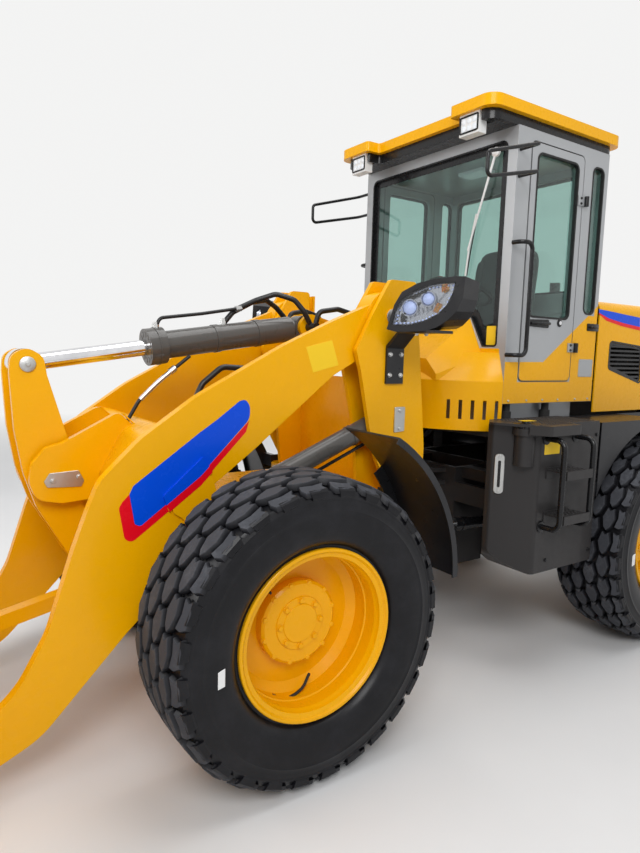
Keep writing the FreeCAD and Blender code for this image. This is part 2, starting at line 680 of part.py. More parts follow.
def make_cab():
    x, y = (CAB_REAR, CAB_FRONT), (-CAB_HALF_WIDTH, CAB_HALF_WIDTH)
    through = (y[0] - 10, y[1] + 10)
    rear_y = (y[0] + 80, y[1] - 80)
    inset = CAB_BASE_INSET
    base_x, base_y = (x[0] + inset, x[1]), (y[0] + inset, y[1] - inset)
    body = fuse(box(x, y, (CAB_SKIRT, CAB_TOP)), box(base_x, base_y, (DECK_TOP, CAB_SKIRT + 10)))
    wall = CAB_WALL
    room = fuse(
        box((x[0] + wall, x[1] - wall), (y[0] + wall, y[1] - wall), (CAB_SKIRT + CAB_FLOOR, CAB_TOP - 40)),
        box((base_x[0] + wall, base_x[1] - wall), (base_y[0] + wall, base_y[1] - wall),
            (DECK_TOP + CAB_FLOOR, CAB_SKIRT + CAB_FLOOR)))
    door_hole = side_plate(rounded_box(DOOR_OPENING_X, DOOR_OPENING_Z, DOOR_CORNER), through)
    quarter = side_plate(rounded_box(QUARTER_X, QUARTER_Z, WINDOW_CORNER), through)
    front = cross_plate(windshield(0), (x[1] - wall - 10, x[1] + 10))
    rear = cross_plate(rounded_box(rear_y, REAR_WINDOW_Z, WINDOW_CORNER), (x[0] - 10, x[0] + wall + 10))
    shell = cut(body, room, door_hole, quarter, front, rear)
    knuckles = []
    for sign in (1, -1):
        y = tuple(sorted((sign * 422, sign * 458)))
        root = box((HOOD_HINGE[0], CAB_REAR + 1), y, (HOOD_HINGE[1] - 8, HOOD_HINGE[1] + 8))
        knuckles.append(fuse(root, pin(HOOD_HINGE, y, HOOD_HINGE_RADIUS)))
    bore = pin(HOOD_HINGE, through, HOOD_HINGE_PIN + PIN_GAP)
    add("cab_frame", cut(fuse(shell, *knuckles), bore))
    panes = [
        cross_plate(windshield(GLASS_GAP), (x[1] - 25, x[1] - 25 + GLASS)),
        cross_plate(
            rounded_box(rear_y, REAR_WINDOW_Z, WINDOW_CORNER, GLASS_GAP), (x[0] + 20, x[0] + 20 + GLASS)),
    ]
    for sign in (1, -1):
        span = tuple(sorted((sign * (CAB_HALF_WIDTH - 25), sign * (CAB_HALF_WIDTH - 25 + GLASS))))
        panes.append(side_plate(rounded_box(QUARTER_X, QUARTER_Z, WINDOW_CORNER, GLASS_GAP), span))
    add("cab_glass", *panes)
    seam = CAB_TOP + LINING_THICKNESS
    add("cab_roof", level_plate(roof_outline(0), (seam, seam + ROOF_THICKNESS)))
    lining = level_plate(roof_outline(LINING_INSET), (CAB_TOP, seam))
    rooms = []
    for x, y in WORK_LAMPS:
        rooms.append(box((x[0] - 12, x[1] + 80), (y[0] - 12, y[1] + 12), (CAB_TOP - 5, seam + 5)))
    add("roof_lining", cut(lining, *rooms))


def roof_outline(inset):
    """The roof's plan with its two front ears, drawn in by an inset."""
    front, rear, half = ROOF_FRONT - inset, ROOF_REAR + inset, ROOF_HALF_WIDTH - inset
    ear, back = ROOF_EAR + inset, front - 90
    return (
        (front, ear, 20), (back, ear, 20), (back, -ear, 20), (front, -ear, 20), (front, -half, 70),
        (rear, -half, 70), (rear, half, 70), (front, half, 70),
    )


def make_doors():
    x = (DOOR_OPENING_X[0] + DOOR_GAP, DOOR_OPENING_X[1] - DOOR_FRONT_GAP)
    z = (DOOR_OPENING_Z[0] + DOOR_GAP, DOOR_OPENING_Z[1] - DOOR_GAP)
    window_x = (x[0] + DOOR_FRAME, x[1] - DOOR_FRAME)
    window_z = (WINDOW_SILL, z[1] - DOOR_FRAME)
    outside = CAB_HALF_WIDTH
    panel = side_plate(rounded_box(x, z, DOOR_CORNER - DOOR_GAP), (outside - CAB_WALL, outside))
    hole = side_plate(rounded_box(window_x, window_z, WINDOW_CORNER), (outside - CAB_WALL - 10, outside + 10))
    straps = []
    for height in DOOR_HINGE_HEIGHTS:
        tall = (height - 25, height + 25)
        straps.append(box((DOOR_HINGE[0], x[0] + 40), (outside + 2, outside + 8), tall))
        straps.append(box((x[0] + 5, x[0] + 40), (outside - 1, outside + 3), tall))
        straps.append(post(DOOR_HINGE, tall, HINGE_RADIUS))
    door = fuse(cut(panel, hole), *straps)
    pane = rounded_box(window_x, window_z, WINDOW_CORNER, GLASS_GAP)
    glass = side_plate(pane, (outside - 25, outside - 25 + GLASS))
    add("door_left", door)
    add("door_right", mirrored(door))
    add("door_glass_left", glass)
    add("door_glass_right", mirrored(glass))


def cowl_outline(front, half_width, z, inset):
    """Outline from the cab's front wall to an arc, drawn in by the inset."""
    half = half_width - inset
    ends = [Vector(CAB_FRONT, side * half, z) for side in (1, -1)]
    arc = Part.Arc(ends[0], Vector(front - inset, 0, z), ends[1]).toShape()
    return Part.Wire([arc, Part.LineSegment(ends[1], ends[0]).toShape()])


def make_cowl():
    levels = ((DECK_TOP, COWL_NOSE, 0), (1500, COWL_NOSE, 0), (COWL_TOP, 20, 40))
    outside, inside = [], []
    for z, front, less in levels:
        outside.append(cowl_outline(front, CAB_HALF_WIDTH - less, z, 0))
        inside.append(cowl_outline(front, CAB_HALF_WIDTH - less, z, HOOD_SHEET))
    lower = Part.makeLoft(outside[:2], True, True)
    upper = Part.makeLoft(outside[1:], True, True)
    lower_room = Part.makeLoft(inside[:2], True, True).translated(Vector(-0.5, 0, 0))
    upper_room = Part.makeLoft(inside[1:], True, True).translated(Vector(-0.5, 0, -4))
    hump = [
        hump_outline(CAB_FRONT, HUMP_FOOT, HUMP_TOP, 0),
        hump_outline(HUMP_FRONT, HUMP_FRONT_FOOT, HUMP_FRONT_TOP, 0),
    ]
    room = [
        hump_outline(CAB_FRONT - 0.5, HUMP_FOOT, HUMP_TOP, HOOD_SHEET),
        hump_outline(HUMP_FRONT - HOOD_SHEET, HUMP_FRONT_FOOT, HUMP_FRONT_TOP, HOOD_SHEET),
    ]
    nose = COWL_NOSE
    centre = (nose ** 2 - CAB_FRONT ** 2 - CAB_HALF_WIDTH ** 2) / (2 * (nose - CAB_FRONT))
    slots = []
    for i in range(5):
        for sign in (1, -1):
            slot = box((nose - centre - 120, nose - centre + 40), (-9, 9), (1300, 1400))
            slot.rotate(Vector(0, 0, 0), UP, sign * (38 + 5.2 * i))
            slot.translate(Vector(centre, 0, 0))
            slots.append(slot)
    shell = fuse(lower, upper, Part.makeLoft(hump, True, True))
    add("cab_cowl", cut(shell, lower_room, upper_room, Part.makeLoft(room, True, True), *slots))


def hump_outline(x, foot, top, inset):
    """Four-sided section of the cowl's hump at one X, drawn in by the sheet's inset."""
    low, high = 1500.0, top[1] - inset
    corners = ((-foot[0] + inset, low), (-foot[0] + inset, foot[1]), (-top[0] + inset, high),
               (top[0] - inset, high), (foot[0] - inset, foot[1]), (foot[0] - inset, low))
    points = [Vector(x, y, z) for y, z in corners]
    return Part.makePolygon(points + points[:1])


def make_cab_inside():
    cushion = box((-790, -380), (-240, 240), (1600, 1720))
    back = side_plate(((-870, 1700), (-745, 1720, 30), (-800, 2330, 40), (-870, 2330, 30)), (-230, 230))
    base = box((-760, -420), (-200, 200), (DECK_TOP + CAB_FLOOR, 1602))
    add("seat", fuse(cushion, back, base))
    floor = DECK_TOP + CAB_FLOOR
    console = side_plate(
        ((-188, floor), (-188, 1800, 20), (-300, 1880, 40), (-360, 1840, 30), (-290, floor)), (-210, 210))
    foot, top = Vector(-300, 0, 1700), Vector(-395, 0, 1975)
    add("console", fuse(console, rod(foot, top, 35)))
    axis = (top - foot).normalize()
    centre = top + axis * 40
    section = ((178, -9), (178, 9), (190, 14), (202, 9), (202, -9), (190, -14), (178, -9))
    rim = Part.makePolygon([Vector(radius, 0, z) for radius, z in section])
    ring = Part.Face(rim).revolve(Vector(0, 0, 0), UP, 360)
    spokes = []
    for turn in (90, 210, 330):
        spoke = box((-6, 182), (-14, 14), (-7, 7))
        spoke.rotate(Vector(0, 0, 0), UP, turn)
        spokes.append(spoke)
    hub = post((0, 0), (-38, 12), 38)
    wheel = fuse(ring, hub, *spokes)
    wheel.rotate(Vector(0, 0, 0), ACROSS, -math.degrees(math.atan2(-axis.x, axis.z)))
    wheel.translate(centre)
    add("steering_wheel", wheel)


def crowned_block(rear, half_width, z, corner, crown):
    """Block behind the cab with rounded rear corners and a rounded upper edge."""
    block = level_plate(
        ((rear, -half_width, corner), (rear, half_width, corner), (HOOD_FRONT, half_width),
         (HOOD_FRONT, -half_width)), z)
    upper = [edge for edge in block.Edges
             if edge.BoundBox.ZMin > z[1] - 1 and edge.BoundBox.XMin < HOOD_FRONT - 1]
    return block.makeFillet(crown, upper)


def side_grille(inset):
    """Outline of the slanted grille in the hood's side."""
    rear, front = SIDE_GRILLE_X[0] + inset, SIDE_GRILLE_X[1] - inset
    foot, top = SIDE_GRILLE_FOOT, SIDE_GRILLE_TOP
    return (
        (rear - 15, foot[0] + inset, 20), (front, foot[1] + inset, 20), (front, top[1] - inset, 20),
        (rear, top[0] - inset, 20),
    )


def make_hood():
    s, half = HOOD_SHEET, CAB_HALF_WIDTH
    low = HOOD_REAR_BOTTOM - 50
    outer = crowned_block(HOOD_REAR, half, (HOOD_REAR_BOTTOM, HOOD_TOP), HOOD_CORNER, HOOD_CROWN)
    inner = crowned_block(HOOD_REAR + s, half - s, (low, HOOD_TOP - s), HOOD_CORNER - s, HOOD_CROWN - s)
    arch = side_plate(
        ((HOOD_FRONT + 10, low), (HOOD_FRONT + 10, HOOD_SIDE_BOTTOM),
         (HOOD_TAIL_FRONT + 210, HOOD_SIDE_BOTTOM, 80), (HOOD_TAIL_FRONT, HOOD_REAR_BOTTOM + 10, 60),
         (HOOD_TAIL_FRONT, low)),
        (-half - 10, half + 10))
    shell = outer.cut([inner, inner.translated(Vector(s, 0, 0)), arch])
    side_hole = side_plate(side_grille(0), (-half - 100, half + 100))
    rear_hole = cross_plate(rounded_box(REAR_GRILLE_Y, REAR_GRILLE_Z, 30), (HOOD_REAR - 50, HOOD_REAR + 60))
    shell = cut(shell, side_hole, rear_hole)
    knuckles = []
    for sign in (1, -1):
        reach = tuple(sorted((sign * 380, sign * 500)))
        knuckles.append(pin(HOOD_HINGE, reach, HOOD_HINGE_PIN))
        for y in ((380, 420), (460, 500)):
            y = tuple(sorted((sign * y[0], sign * y[1])))
            strap = box((HOOD_HINGE[0] - 50, HOOD_HINGE[0]), y, (HOOD_TOP, HOOD_TOP + 7))
            knuckles.append(fuse(strap, pin(HOOD_HINGE, y, HOOD_HINGE_RADIUS)))
    add("hood", fuse(shell, *knuckles))
    grilles = []
    for sign in (1, -1):
        span = tuple(sorted((sign * (half - s), sign * (half - s + 4))))
        plate = side_plate(side_grille(GRILLE_GAP), span)
        inside = side_plate(side_grille(14), (span[0] - 10, span[1] + 10))
        bars = []
        for z in range(1508, 1720, 26):
            bars.append(box(SIDE_GRILLE_X, (span[0] - 10, span[1] + 10), (z, z + 14)).common(inside))
        grilles.append(cut(plate, *bars))
    rear_plate = cross_plate(
        rounded_box(REAR_GRILLE_Y, REAR_GRILLE_Z, 30, GRILLE_GAP), (HOOD_REAR + 1, HOOD_REAR + 6))
    bar_y = (REAR_GRILLE_Y[0] + 15, REAR_GRILLE_Y[1] - 15)
    rear_bars = [box((HOOD_REAR - 10, HOOD_REAR + 20), bar_y, (z, z + 28)) for z in range(1136, 1710, 46)]
    grilles.append(cut(rear_plate, *rear_bars))
    add("hood_grilles", *grilles)
    base = Vector(REAR_FRAME_REAR + 370, -330, HOOD_TOP)
    stack = fuse(rod(base, base + Vector(0, 0, 12), 70), rod(base, base + Vector(0, 0, 230), 38))
    mouth = rod(base + Vector(0, 0, 60), base + Vector(0, 0, 240), 33)
    add("exhaust_stack", cut(stack, mouth))


def make_tanks():
    plan = (
        (TANK_FRONT - 60, TANK_INNER), (TANK_REAR, TANK_INNER), (TANK_REAR, TANK_OUTER, 20),
        (TANK_FRONT - 140, TANK_OUTER, 30), (TANK_FRONT, TANK_INNER + 80, 20), (TANK_FRONT, TANK_INNER + 50),
    )
    side = (
        (TANK_REAR, TANK_BOTTOM), (TANK_REAR, TANK_TOP), (TANK_FRONT, TANK_TOP),
        (TANK_FRONT, TANK_BOTTOM + 90, 60), (TANK_FRONT - 120, TANK_BOTTOM, 60),
    )
    tank = level_plate(plan, (TANK_BOTTOM, TANK_TOP)).common(side_plate(side, (TANK_INNER, TANK_OUTER)))
    neck = fuse(
        post(FILLER, FILLER_Z[:2], FILLER_RADIUS), post(FILLER, FILLER_Z[1:], FILLER_RADIUS + 11))
    tank = fuse(tank, neck)
    add("side_tanks", tank, mirrored(tank))
    top = TANK_TOP + 12
    outside = platform_outline(0)
    sheet = level_plate(outside, (TANK_TOP, top))
    rim = level_plate(outside, (top - PLATFORM, top)).cut([
        level_plate(platform_outline(6), (top - PLATFORM - 5, top + 5)),
        box((TANK_REAR - 50, TANK_FRONT + 50), (0, TANK_OUTER + 1), (top - PLATFORM - 5, top + 5))])
    room = post(FILLER, (TANK_TOP - 60, TANK_TOP + 60), FILLER_RADIUS + 14)
    left = [cut(fuse(sheet, rim), room)]
    x, far = (STEP_RAILS[1] + RAIL_RADIUS, STEP_RAILS[0] - RAIL_RADIUS), TANK_OUTER + 120
    for height in (1080, 860):
        left.append(fuse(
            box(x, (TANK_OUTER, far), (height, height + 6)),
            box(x, (far - 8, far), (height - 30, height + 14)),
            box(x, (TANK_OUTER, TANK_OUTER + 5), (height - 40, height + 14))))
    add("side_steps", *left, *[mirrored(shape) for shape in left])


def platform_outline(inset):
    """Plan of the platform above a tank, drawn in by an inset on its free sides."""
    wide = TANK_OUTER + 90 - inset
    return (
        (TANK_FRONT - 60, TANK_INNER), (TANK_REAR + 20, TANK_INNER), (TANK_REAR + 20, TANK_OUTER),
        (-300, TANK_OUTER), (-300 + inset, wide, 20), (-60 - inset, wide, 20),
        (TANK_FRONT + 30 - inset, TANK_INNER + 115, 20), (TANK_FRONT + 30 - inset, TANK_INNER + 80, 20),
    )


def make_rails():
    """Tube work: step rails, grab handles beside the doors and the bare mirror arms."""
    wall, tank, rail = CAB_HALF_WIDTH, TANK_OUTER, TANK_OUTER + 105
    grip, arm = CAB_HALF_WIDTH + 60, CAB_HALF_WIDTH + 120
    runs = [
        (11, 35, ((-100 - CAB_WALL, wall, 2205), (-100 - CAB_WALL, grip, 2205), (-225, grip, 2205),
                  (-225, grip, 1640), (-100 - CAB_WALL, grip, 1640), (-100 - CAB_WALL, wall, 1640))),
        (9, 24, ((-160, wall, 2660), (-160, arm, 2660), (205, arm, 2555), (205, arm, 2445),
                 (-160, arm, 2530), (-160, wall, 2530))),
    ]
    for x in STEP_RAILS:
        runs.append((RAIL_RADIUS, 45, ((x, tank, 1240), (x, rail, 1240), (x, rail, 800), (x, tank, 800))))
    left = tubes(runs)
    add("rails", *left, *[mirrored(tube) for tube in left])


def ring_sector(centre, radii, angles, y):
    """Curved sheet about an axis across the machine, between two angles in degrees from +X."""
    points = []
    for radius in radii:
        row = []
        for angle in (angles[0], (angles[0] + angles[1]) / 2, angles[1]):
            a = math.radians(angle)
            row.append(Vector(centre[0] + radius * math.cos(a), y[0], centre[1] + radius * math.sin(a)))
        points.append(row)
    inner, outer = points
    wire = Part.Wire([
        Part.Arc(*inner).toShape(),
        Part.LineSegment(inner[2], outer[2]).toShape(),
        Part.Arc(outer[2], outer[1], outer[0]).toShape(),
        Part.LineSegment(outer[0], inner[0]).toShape(),
    ])
    return Part.Face(wire).extrude(Vector(0, y[1] - y[0], 0))


def make_fenders():
    centre, radius = FRONT_FENDER, FRONT_FENDER_RADIUS
    edge = (FENDER_EDGE - 6, FENDER_EDGE)
    inner = FENDER_WALL + 25
    arc = (120, 180)
    sheet = ring_sector(centre, (radius - 8, radius), arc, (inner, FENDER_EDGE))
    lip = ring_sector(centre, (radius - 28, radius), arc, edge)
    web = ring_sector(centre, (radius - 60, radius), (142, 170), (inner, inner + 8))
    plate = box((440, 600), (TOWER_OUTER_FACE, TOWER_OUTER_FACE + 10), (930, 1000))
    arm = box((570, 600), (TOWER_OUTER_FACE, inner + 5), (930, 1000))
    front = fuse(sheet, lip, web, plate, arm)
    add("front_fenders", front, mirrored(front))
    centre = (REAR_AXLE_X, AXLE_HEIGHT)
    rear = []
    for sign in (1, -1):
        def span(y):
            return tuple(sorted((sign * y[0], sign * y[1])))
        skirt_x = (REAR_AXLE_X, TANK_REAR - MOVING_GAP)
        skirt = box(skirt_x, span((TANK_OUTER - 6, TANK_OUTER)), (890, TANK_TOP))
        wall = box((-1850, -950), span((FENDER_WALL, FENDER_WALL + 8)), (1000, TANK_TOP))
        wheel_room = pin(centre, span((0, TANK_OUTER + 50)), 694)
        sheet = ring_sector(centre, (690, 698), (35, 152), span((FENDER_WALL, TANK_OUTER)))
        top = box(skirt_x, span((FENDER_WALL, TANK_OUTER)), (TANK_TOP - 6, TANK_TOP))
        rear.append(fuse(sheet, skirt.cut(wheel_room), wall.cut(wheel_room), top))
    add("rear_fenders", *rear)


def lens_point(across, height, depth):
    """Point on the headlight's slanted face, or behind it."""
    turn = math.radians(LENS_TURN)
    facing = Vector(math.cos(turn), math.sin(turn), 0)
    aside = Vector(-math.sin(turn), math.cos(turn), 0)
    return Vector(*LENS_CENTRE, height) + aside * across - facing * depth


def make_lamps():
    rim = (
        (-113, 1736), (-82, 1843), (-51, 1896), (18, 1933), (81, 1947), (179, 1959), (219, 1957),
        (212, 1867), (187, 1813), (152, 1776), (104, 1745), (54, 1729), (-70, 1725),
    )
    pane = (
        (-91, 1752), (-80, 1812), (-56, 1859), (-6, 1896), (69, 1926), (132, 1935), (181, 1935),
        (174, 1892), (149, 1837), (113, 1800), (52, 1769), (-12, 1753),
    )
    back_x, back_y, back_z, back_share = 395, 770, 1860, 0.86
    front, rear = [], []
    for across, height in rim + rim[:1]:
        point = lens_point(across, height, 0)
        front.append(point)
        rear.append(Vector(
            back_x, back_y + (point.y - back_y) * back_share, back_z + (point.z - back_z) * back_share))
    pod = Part.makeLoft([Part.makePolygon(front), Part.makePolygon(rear)], True, True)
    turn = math.radians(LENS_TURN)
    backwards = Vector(-math.cos(turn), -math.sin(turn), 0)
    opening = Part.Face(Part.makePolygon([lens_point(*point, -5) for point in pane + pane[:1]]))
    pod = pod.cut(opening.extrude(backwards * 50))
    inset = []
    for across, height in pane + pane[:1]:
        inset.append(lens_point(50 + (across - 50) * LENS_SHARE, 1850 + (height - 1850) * LENS_SHARE, 2))
    lens = Part.Face(Part.makePolygon(inset)).extrude(backwards * GLASS)
    add("headlight_lenses", lens, mirrored(lens))
    stay = ((TOWER_OUTER_FACE, 1490), (TOWER_OUTER_FACE + 12, 1490), (TOWER_OUTER_FACE + 12, 1654),
            (596, 1722), (830, 1722), (830, 1734), (590, 1734), (TOWER_OUTER_FACE, 1665))
    lamp = fuse(pod, cross_plate(stay, (482, 585)))
    add("headlights", lamp, mirrored(lamp))
    seam = CAB_TOP + LINING_THICKNESS
    work = [box(x, y, (seam - 103, seam)) for x, y in WORK_LAMPS]
    for sign in (1, -1):
        rear_y = sorted((sign * 410, sign * 530))
        work.append(box((ROOF_REAR + 36, ROOF_REAR + 86), rear_y, (CAB_TOP - 85, CAB_TOP)))
    add("work_lamps", *work)
    lamp = box((MACHINE_REAR - 14, MACHINE_REAR), (330, 410), (820, 950))
    add("tail_lamps", lamp, mirrored(lamp))


def make_boom():
    arm_outline = (
        (450, 1830, 100), (520, 1905, 90), (862, 1765, 200), (1108, 1653, 500), (1500, 1443, 500),
        (1726, 1286, 300), (1879, 1138, 160), (1920, 1041, 300), (1976, 887, 300), (2069, 594, 300),
        (2164, 422, 300), (2225, 360, 100), (2390, 290, 60), (2455, 200, 60), (2370, 115, 60),
        (2230, 155, 200), (2098, 214, 300), (1794, 529, 300), (1697, 620, 200), (1451, 1067, 200),
        (1246, 1215, 500), (854, 1525, 300), (520, 1700, 90),
    )
    cheek = (
        (1440, 1150, 30), (1400, 960, 40), (1440, 880, 60), (1520, 880, 60), (1560, 960, 40),
        (1620, 1000, 30),
    )
    bridge = ((1440, 1150), (1620, 1000), (1640, 1060), (1480, 1200))
    arm = (ARM_CENTRE - ARM_THICKNESS / 2, ARM_CENTRE + ARM_THICKNESS / 2)
    plate_and_gap = FRAME_PLATE + MOVING_GAP
    tower_room = (TOWER_INNER_FACE + plate_and_gap, TOWER_OUTER_FACE - plate_and_gap)
    eye_room = (LIFT_CENTRE - 35, LIFT_CENTRE + 35)
    pieces, bores = [], []
    for sign in (1, -1):
        def span(y):
            return tuple(sorted((sign * y[0], sign * y[1])))
        pieces.append(side_plate(arm_outline, span(arm)))
        pieces.append(pin(BOOM_PIVOT, span(tower_room), BOOM_BOSS_RADIUS))
        pieces.append(pin(BUCKET_PIVOT, span((405, 495)), BUCKET_BOSS_RADIUS))
        for y in ((eye_room[0] - 15, eye_room[0]), (eye_room[1], eye_room[1] + 15)):
            pieces.append(side_plate(cheek, span(y)))
        pieces.append(side_plate(bridge, span((eye_room[0] - 15, eye_room[1] + 15))))
        bores.append(pin(BOOM_PIVOT, span((300, 600)), BOOM_PIN_RADIUS + PIN_GAP))
        bores.append(pin(BUCKET_PIVOT, span((300, 600)), BOOM_PIN_RADIUS + PIN_GAP))
        bores.append(pin(LIFT_ROD_PIN, span(eye_room), 70))
    beam = side_plate(
        ((1480, 1080, 40), (1600, 1000, 60), (1780, 1010, 40), (1800, 1110, 40), (1700, 1290, 60),
         (1600, 1330, 60), (1490, 1250, 60)),
        (-arm[0] - 5, arm[0] + 5))
    ear_outline = (
        (2003, 1225, 40), (1939, 1241, 60), (1717, 1358, 30), (1600, 1250), (1642, 1100), (1760, 1010, 20),
        (1944, 998, 60), (2040, 1020, 60), (2064, 1091, 60), (2055, 1162, 50),
    )
    ear = side_plate(ear_outline, (EAR_INNER_FACE, EAR_INNER_FACE + EAR_THICKNESS))
    pieces += [ear, mirrored(ear)]
    pin_end = EAR_INNER_FACE + EAR_THICKNESS
    crank_pin = pin(CRANK_PIVOT, (-pin_end, pin_end), CRANK_PIN_RADIUS)
    boom = cut(fuse(beam, *pieces), *bores)
    add("boom", fuse(boom, crank_pin))


def make_bell_crank():
    outline = (
        (2111, 1584, 50), (2050, 1617, 50), (1990, 1580, 50), (1980, 1508, 60), (1885, 1180, 100),
        (1870, 1020, 100), (1700, 620, 60), (1690, 530, 60), (1790, 520, 60), (1830, 620, 60),
        (2030, 980, 100), (2075, 1120, 100), (2104, 1295, 200), (2116, 1519, 60),
    )
    inner = CRANK_HALF_WIDTH - CRANK_PLATE
    pieces = []
    for sign in (1, -1):
        def span(y):
            return tuple(sorted((sign * y[0], sign * y[1])))
        pieces.append(side_plate(outline, span((inner, CRANK_HALF_WIDTH))))
        pieces.append(pin(CRANK_TOP_PIN, span((inner, CRANK_HALF_WIDTH + 3)), 24))
        pieces.append(pin(CRANK_LOW_PIN, span((inner, CRANK_HALF_WIDTH + 8)), 34))
    hub = pin(CRANK_PIVOT, (-EAR_INNER_FACE + MOVING_GAP, EAR_INNER_FACE - MOVING_GAP), 75)
    bore = pin(CRANK_PIVOT, (-200, 200), CRANK_PIN_RADIUS + PIN_GAP)
    add("bell_crank", cut(fuse(hub, *pieces), bore))


def flat(point, y=0.0):
    return Vector(point[0], y, point[1])


def make_link():
    low, high = flat(CRANK_LOW_PIN), flat(BUCKET_LINK_PIN)
    along = (high - low).normalize()
    aside = Vector(-along.z, 0, along.x) * (LINK_HEIGHT / 2)
    corners = [low + aside, high + aside, high - aside, low - aside, low + aside]
    y = (-LINK_HALF_WIDTH, LINK_HALF_WIDTH)
    bar = Part.Face(Part.makePolygon(corners)).extrude(Vector(0, y[1] - y[0], 0))
    bar.translate(Vector(0, y[0], 0))
    link = fuse(bar, pin(CRANK_LOW_PIN, y, LINK_EYE_RADIUS), pin(BUCKET_LINK_PIN, y, LINK_EYE_RADIUS))
    low_bore = pin(CRANK_LOW_PIN, (-90, 90), LINK_PIN_RADIUS)
    high_bore = pin(BUCKET_LINK_PIN, (-90, 90), LINK_PIN_RADIUS + PIN_GAP)
    add("bucket_link", cut(link, low_bore, high_bore))


def cylinder_pair(base, end, across, sizes):
    """Barrel and rod of one cylinder, from its base eye to its rod's eye.

    sizes: barrel radius, rod radius, barrel end, eye radius, eye half width, pin radius, piston place,
    how far the gland stands out
    """
    barrel_radius, rod_radius, barrel_end, eye_radius, eye_half, pin_radius, piston, step = sizes
    along = (end - base).normalize()
    length = (end - base).Length

    def eye(at, bore):
        ring = Part.makeCylinder(eye_radius, 2 * eye_half, at - across * eye_half, across)
        hole = Part.makeCylinder(bore, 2 * eye_half + 20, at - across * (eye_half + 10), across)
        return ring, hole

    ring, hole = eye(base, pin_radius + PIN_GAP)
    neck = rod(base, base + along * (eye_radius + 25), min(barrel_radius, eye_half) - 2)
    tube = rod(base + along * (eye_radius + 15), base + along * (barrel_end - 40), barrel_radius)
    gland = rod(base + along * (barrel_end - 80), base + along * barrel_end, barrel_radius + step)
    collar_radius = barrel_radius + step + 3
    collar = rod(base + along * (barrel_end - 50), base + along * (barrel_end - 42), collar_radius)
    inner = barrel_radius - BARREL_WALL
    room = rod(base + along * (eye_radius + 30), base + along * (barrel_end - 45), inner)
    way = rod(base + along * (barrel_end - 60), base + along * (barrel_end + 5), rod_radius + PIN_GAP)
    barrel = cut(fuse(ring, neck, tube, gland, collar), hole, room, way)
    ring, hole = eye(end, pin_radius)
    bar = rod(base + along * piston, base + along * (length - eye_radius * 0.6), rod_radius)
    head = rod(base + along * (piston - 20), base + along * piston, inner - 0.6)
    return barrel, cut(fuse(bar, head, ring), hole)


def make_cylinders():
    sizes = (
        LIFT_BARREL_RADIUS, LIFT_ROD_RADIUS, LIFT_BARREL_END, 48, 30, CYLINDER_PIN_RADIUS, 130, GLAND_STEP)
    base, end = flat(LIFT_BASE_PIN, LIFT_CENTRE), flat(LIFT_ROD_PIN, LIFT_CENTRE)
    barrel, bar = cylinder_pair(base, end, ACROSS, sizes)
    for side, turn in (("left", lambda s: s), ("right", mirrored)):
        add(f"lift_barrel_{side}", turn(barrel))
        add(f"lift_rod_{side}", turn(bar))
    sizes = (
        TILT_BARREL_RADIUS, TILT_ROD_RADIUS, TILT_BARREL_END, 60, 42, CYLINDER_PIN_RADIUS + 8, 420,
        TILT_GLAND_STEP)
    barrel, bar = cylinder_pair(flat(TILT_BASE_PIN), flat(CRANK_TOP_PIN), ACROSS, sizes)
    add("tilt_barrel", barrel)
    add("tilt_rod", bar)
    sizes = (STEER_BARREL_RADIUS, STEER_ROD_RADIUS, STEER_BARREL_END, 32, 18, 15, 277, GLAND_STEP)
    base = Vector(*STEER_REAR_PIN, STEER_CYLINDER_HEIGHT)
    end = Vector(*STEER_FRONT_PIN, STEER_CYLINDER_HEIGHT)
    barrel, bar = cylinder_pair(base, end, UP, sizes)
    for side, turn in (("left", lambda s: s), ("right", mirrored)):
        add(f"steer_barrel_{side}", turn(barrel))
        add(f"steer_rod_{side}", turn(bar))


def tubes(runs):
    """Round tubes from rows of (radius, bend, points), with points as (x, y, z)."""
    return [bent_tube([Vector(*point) for point in points], radius, bend) for radius, bend, points in runs]


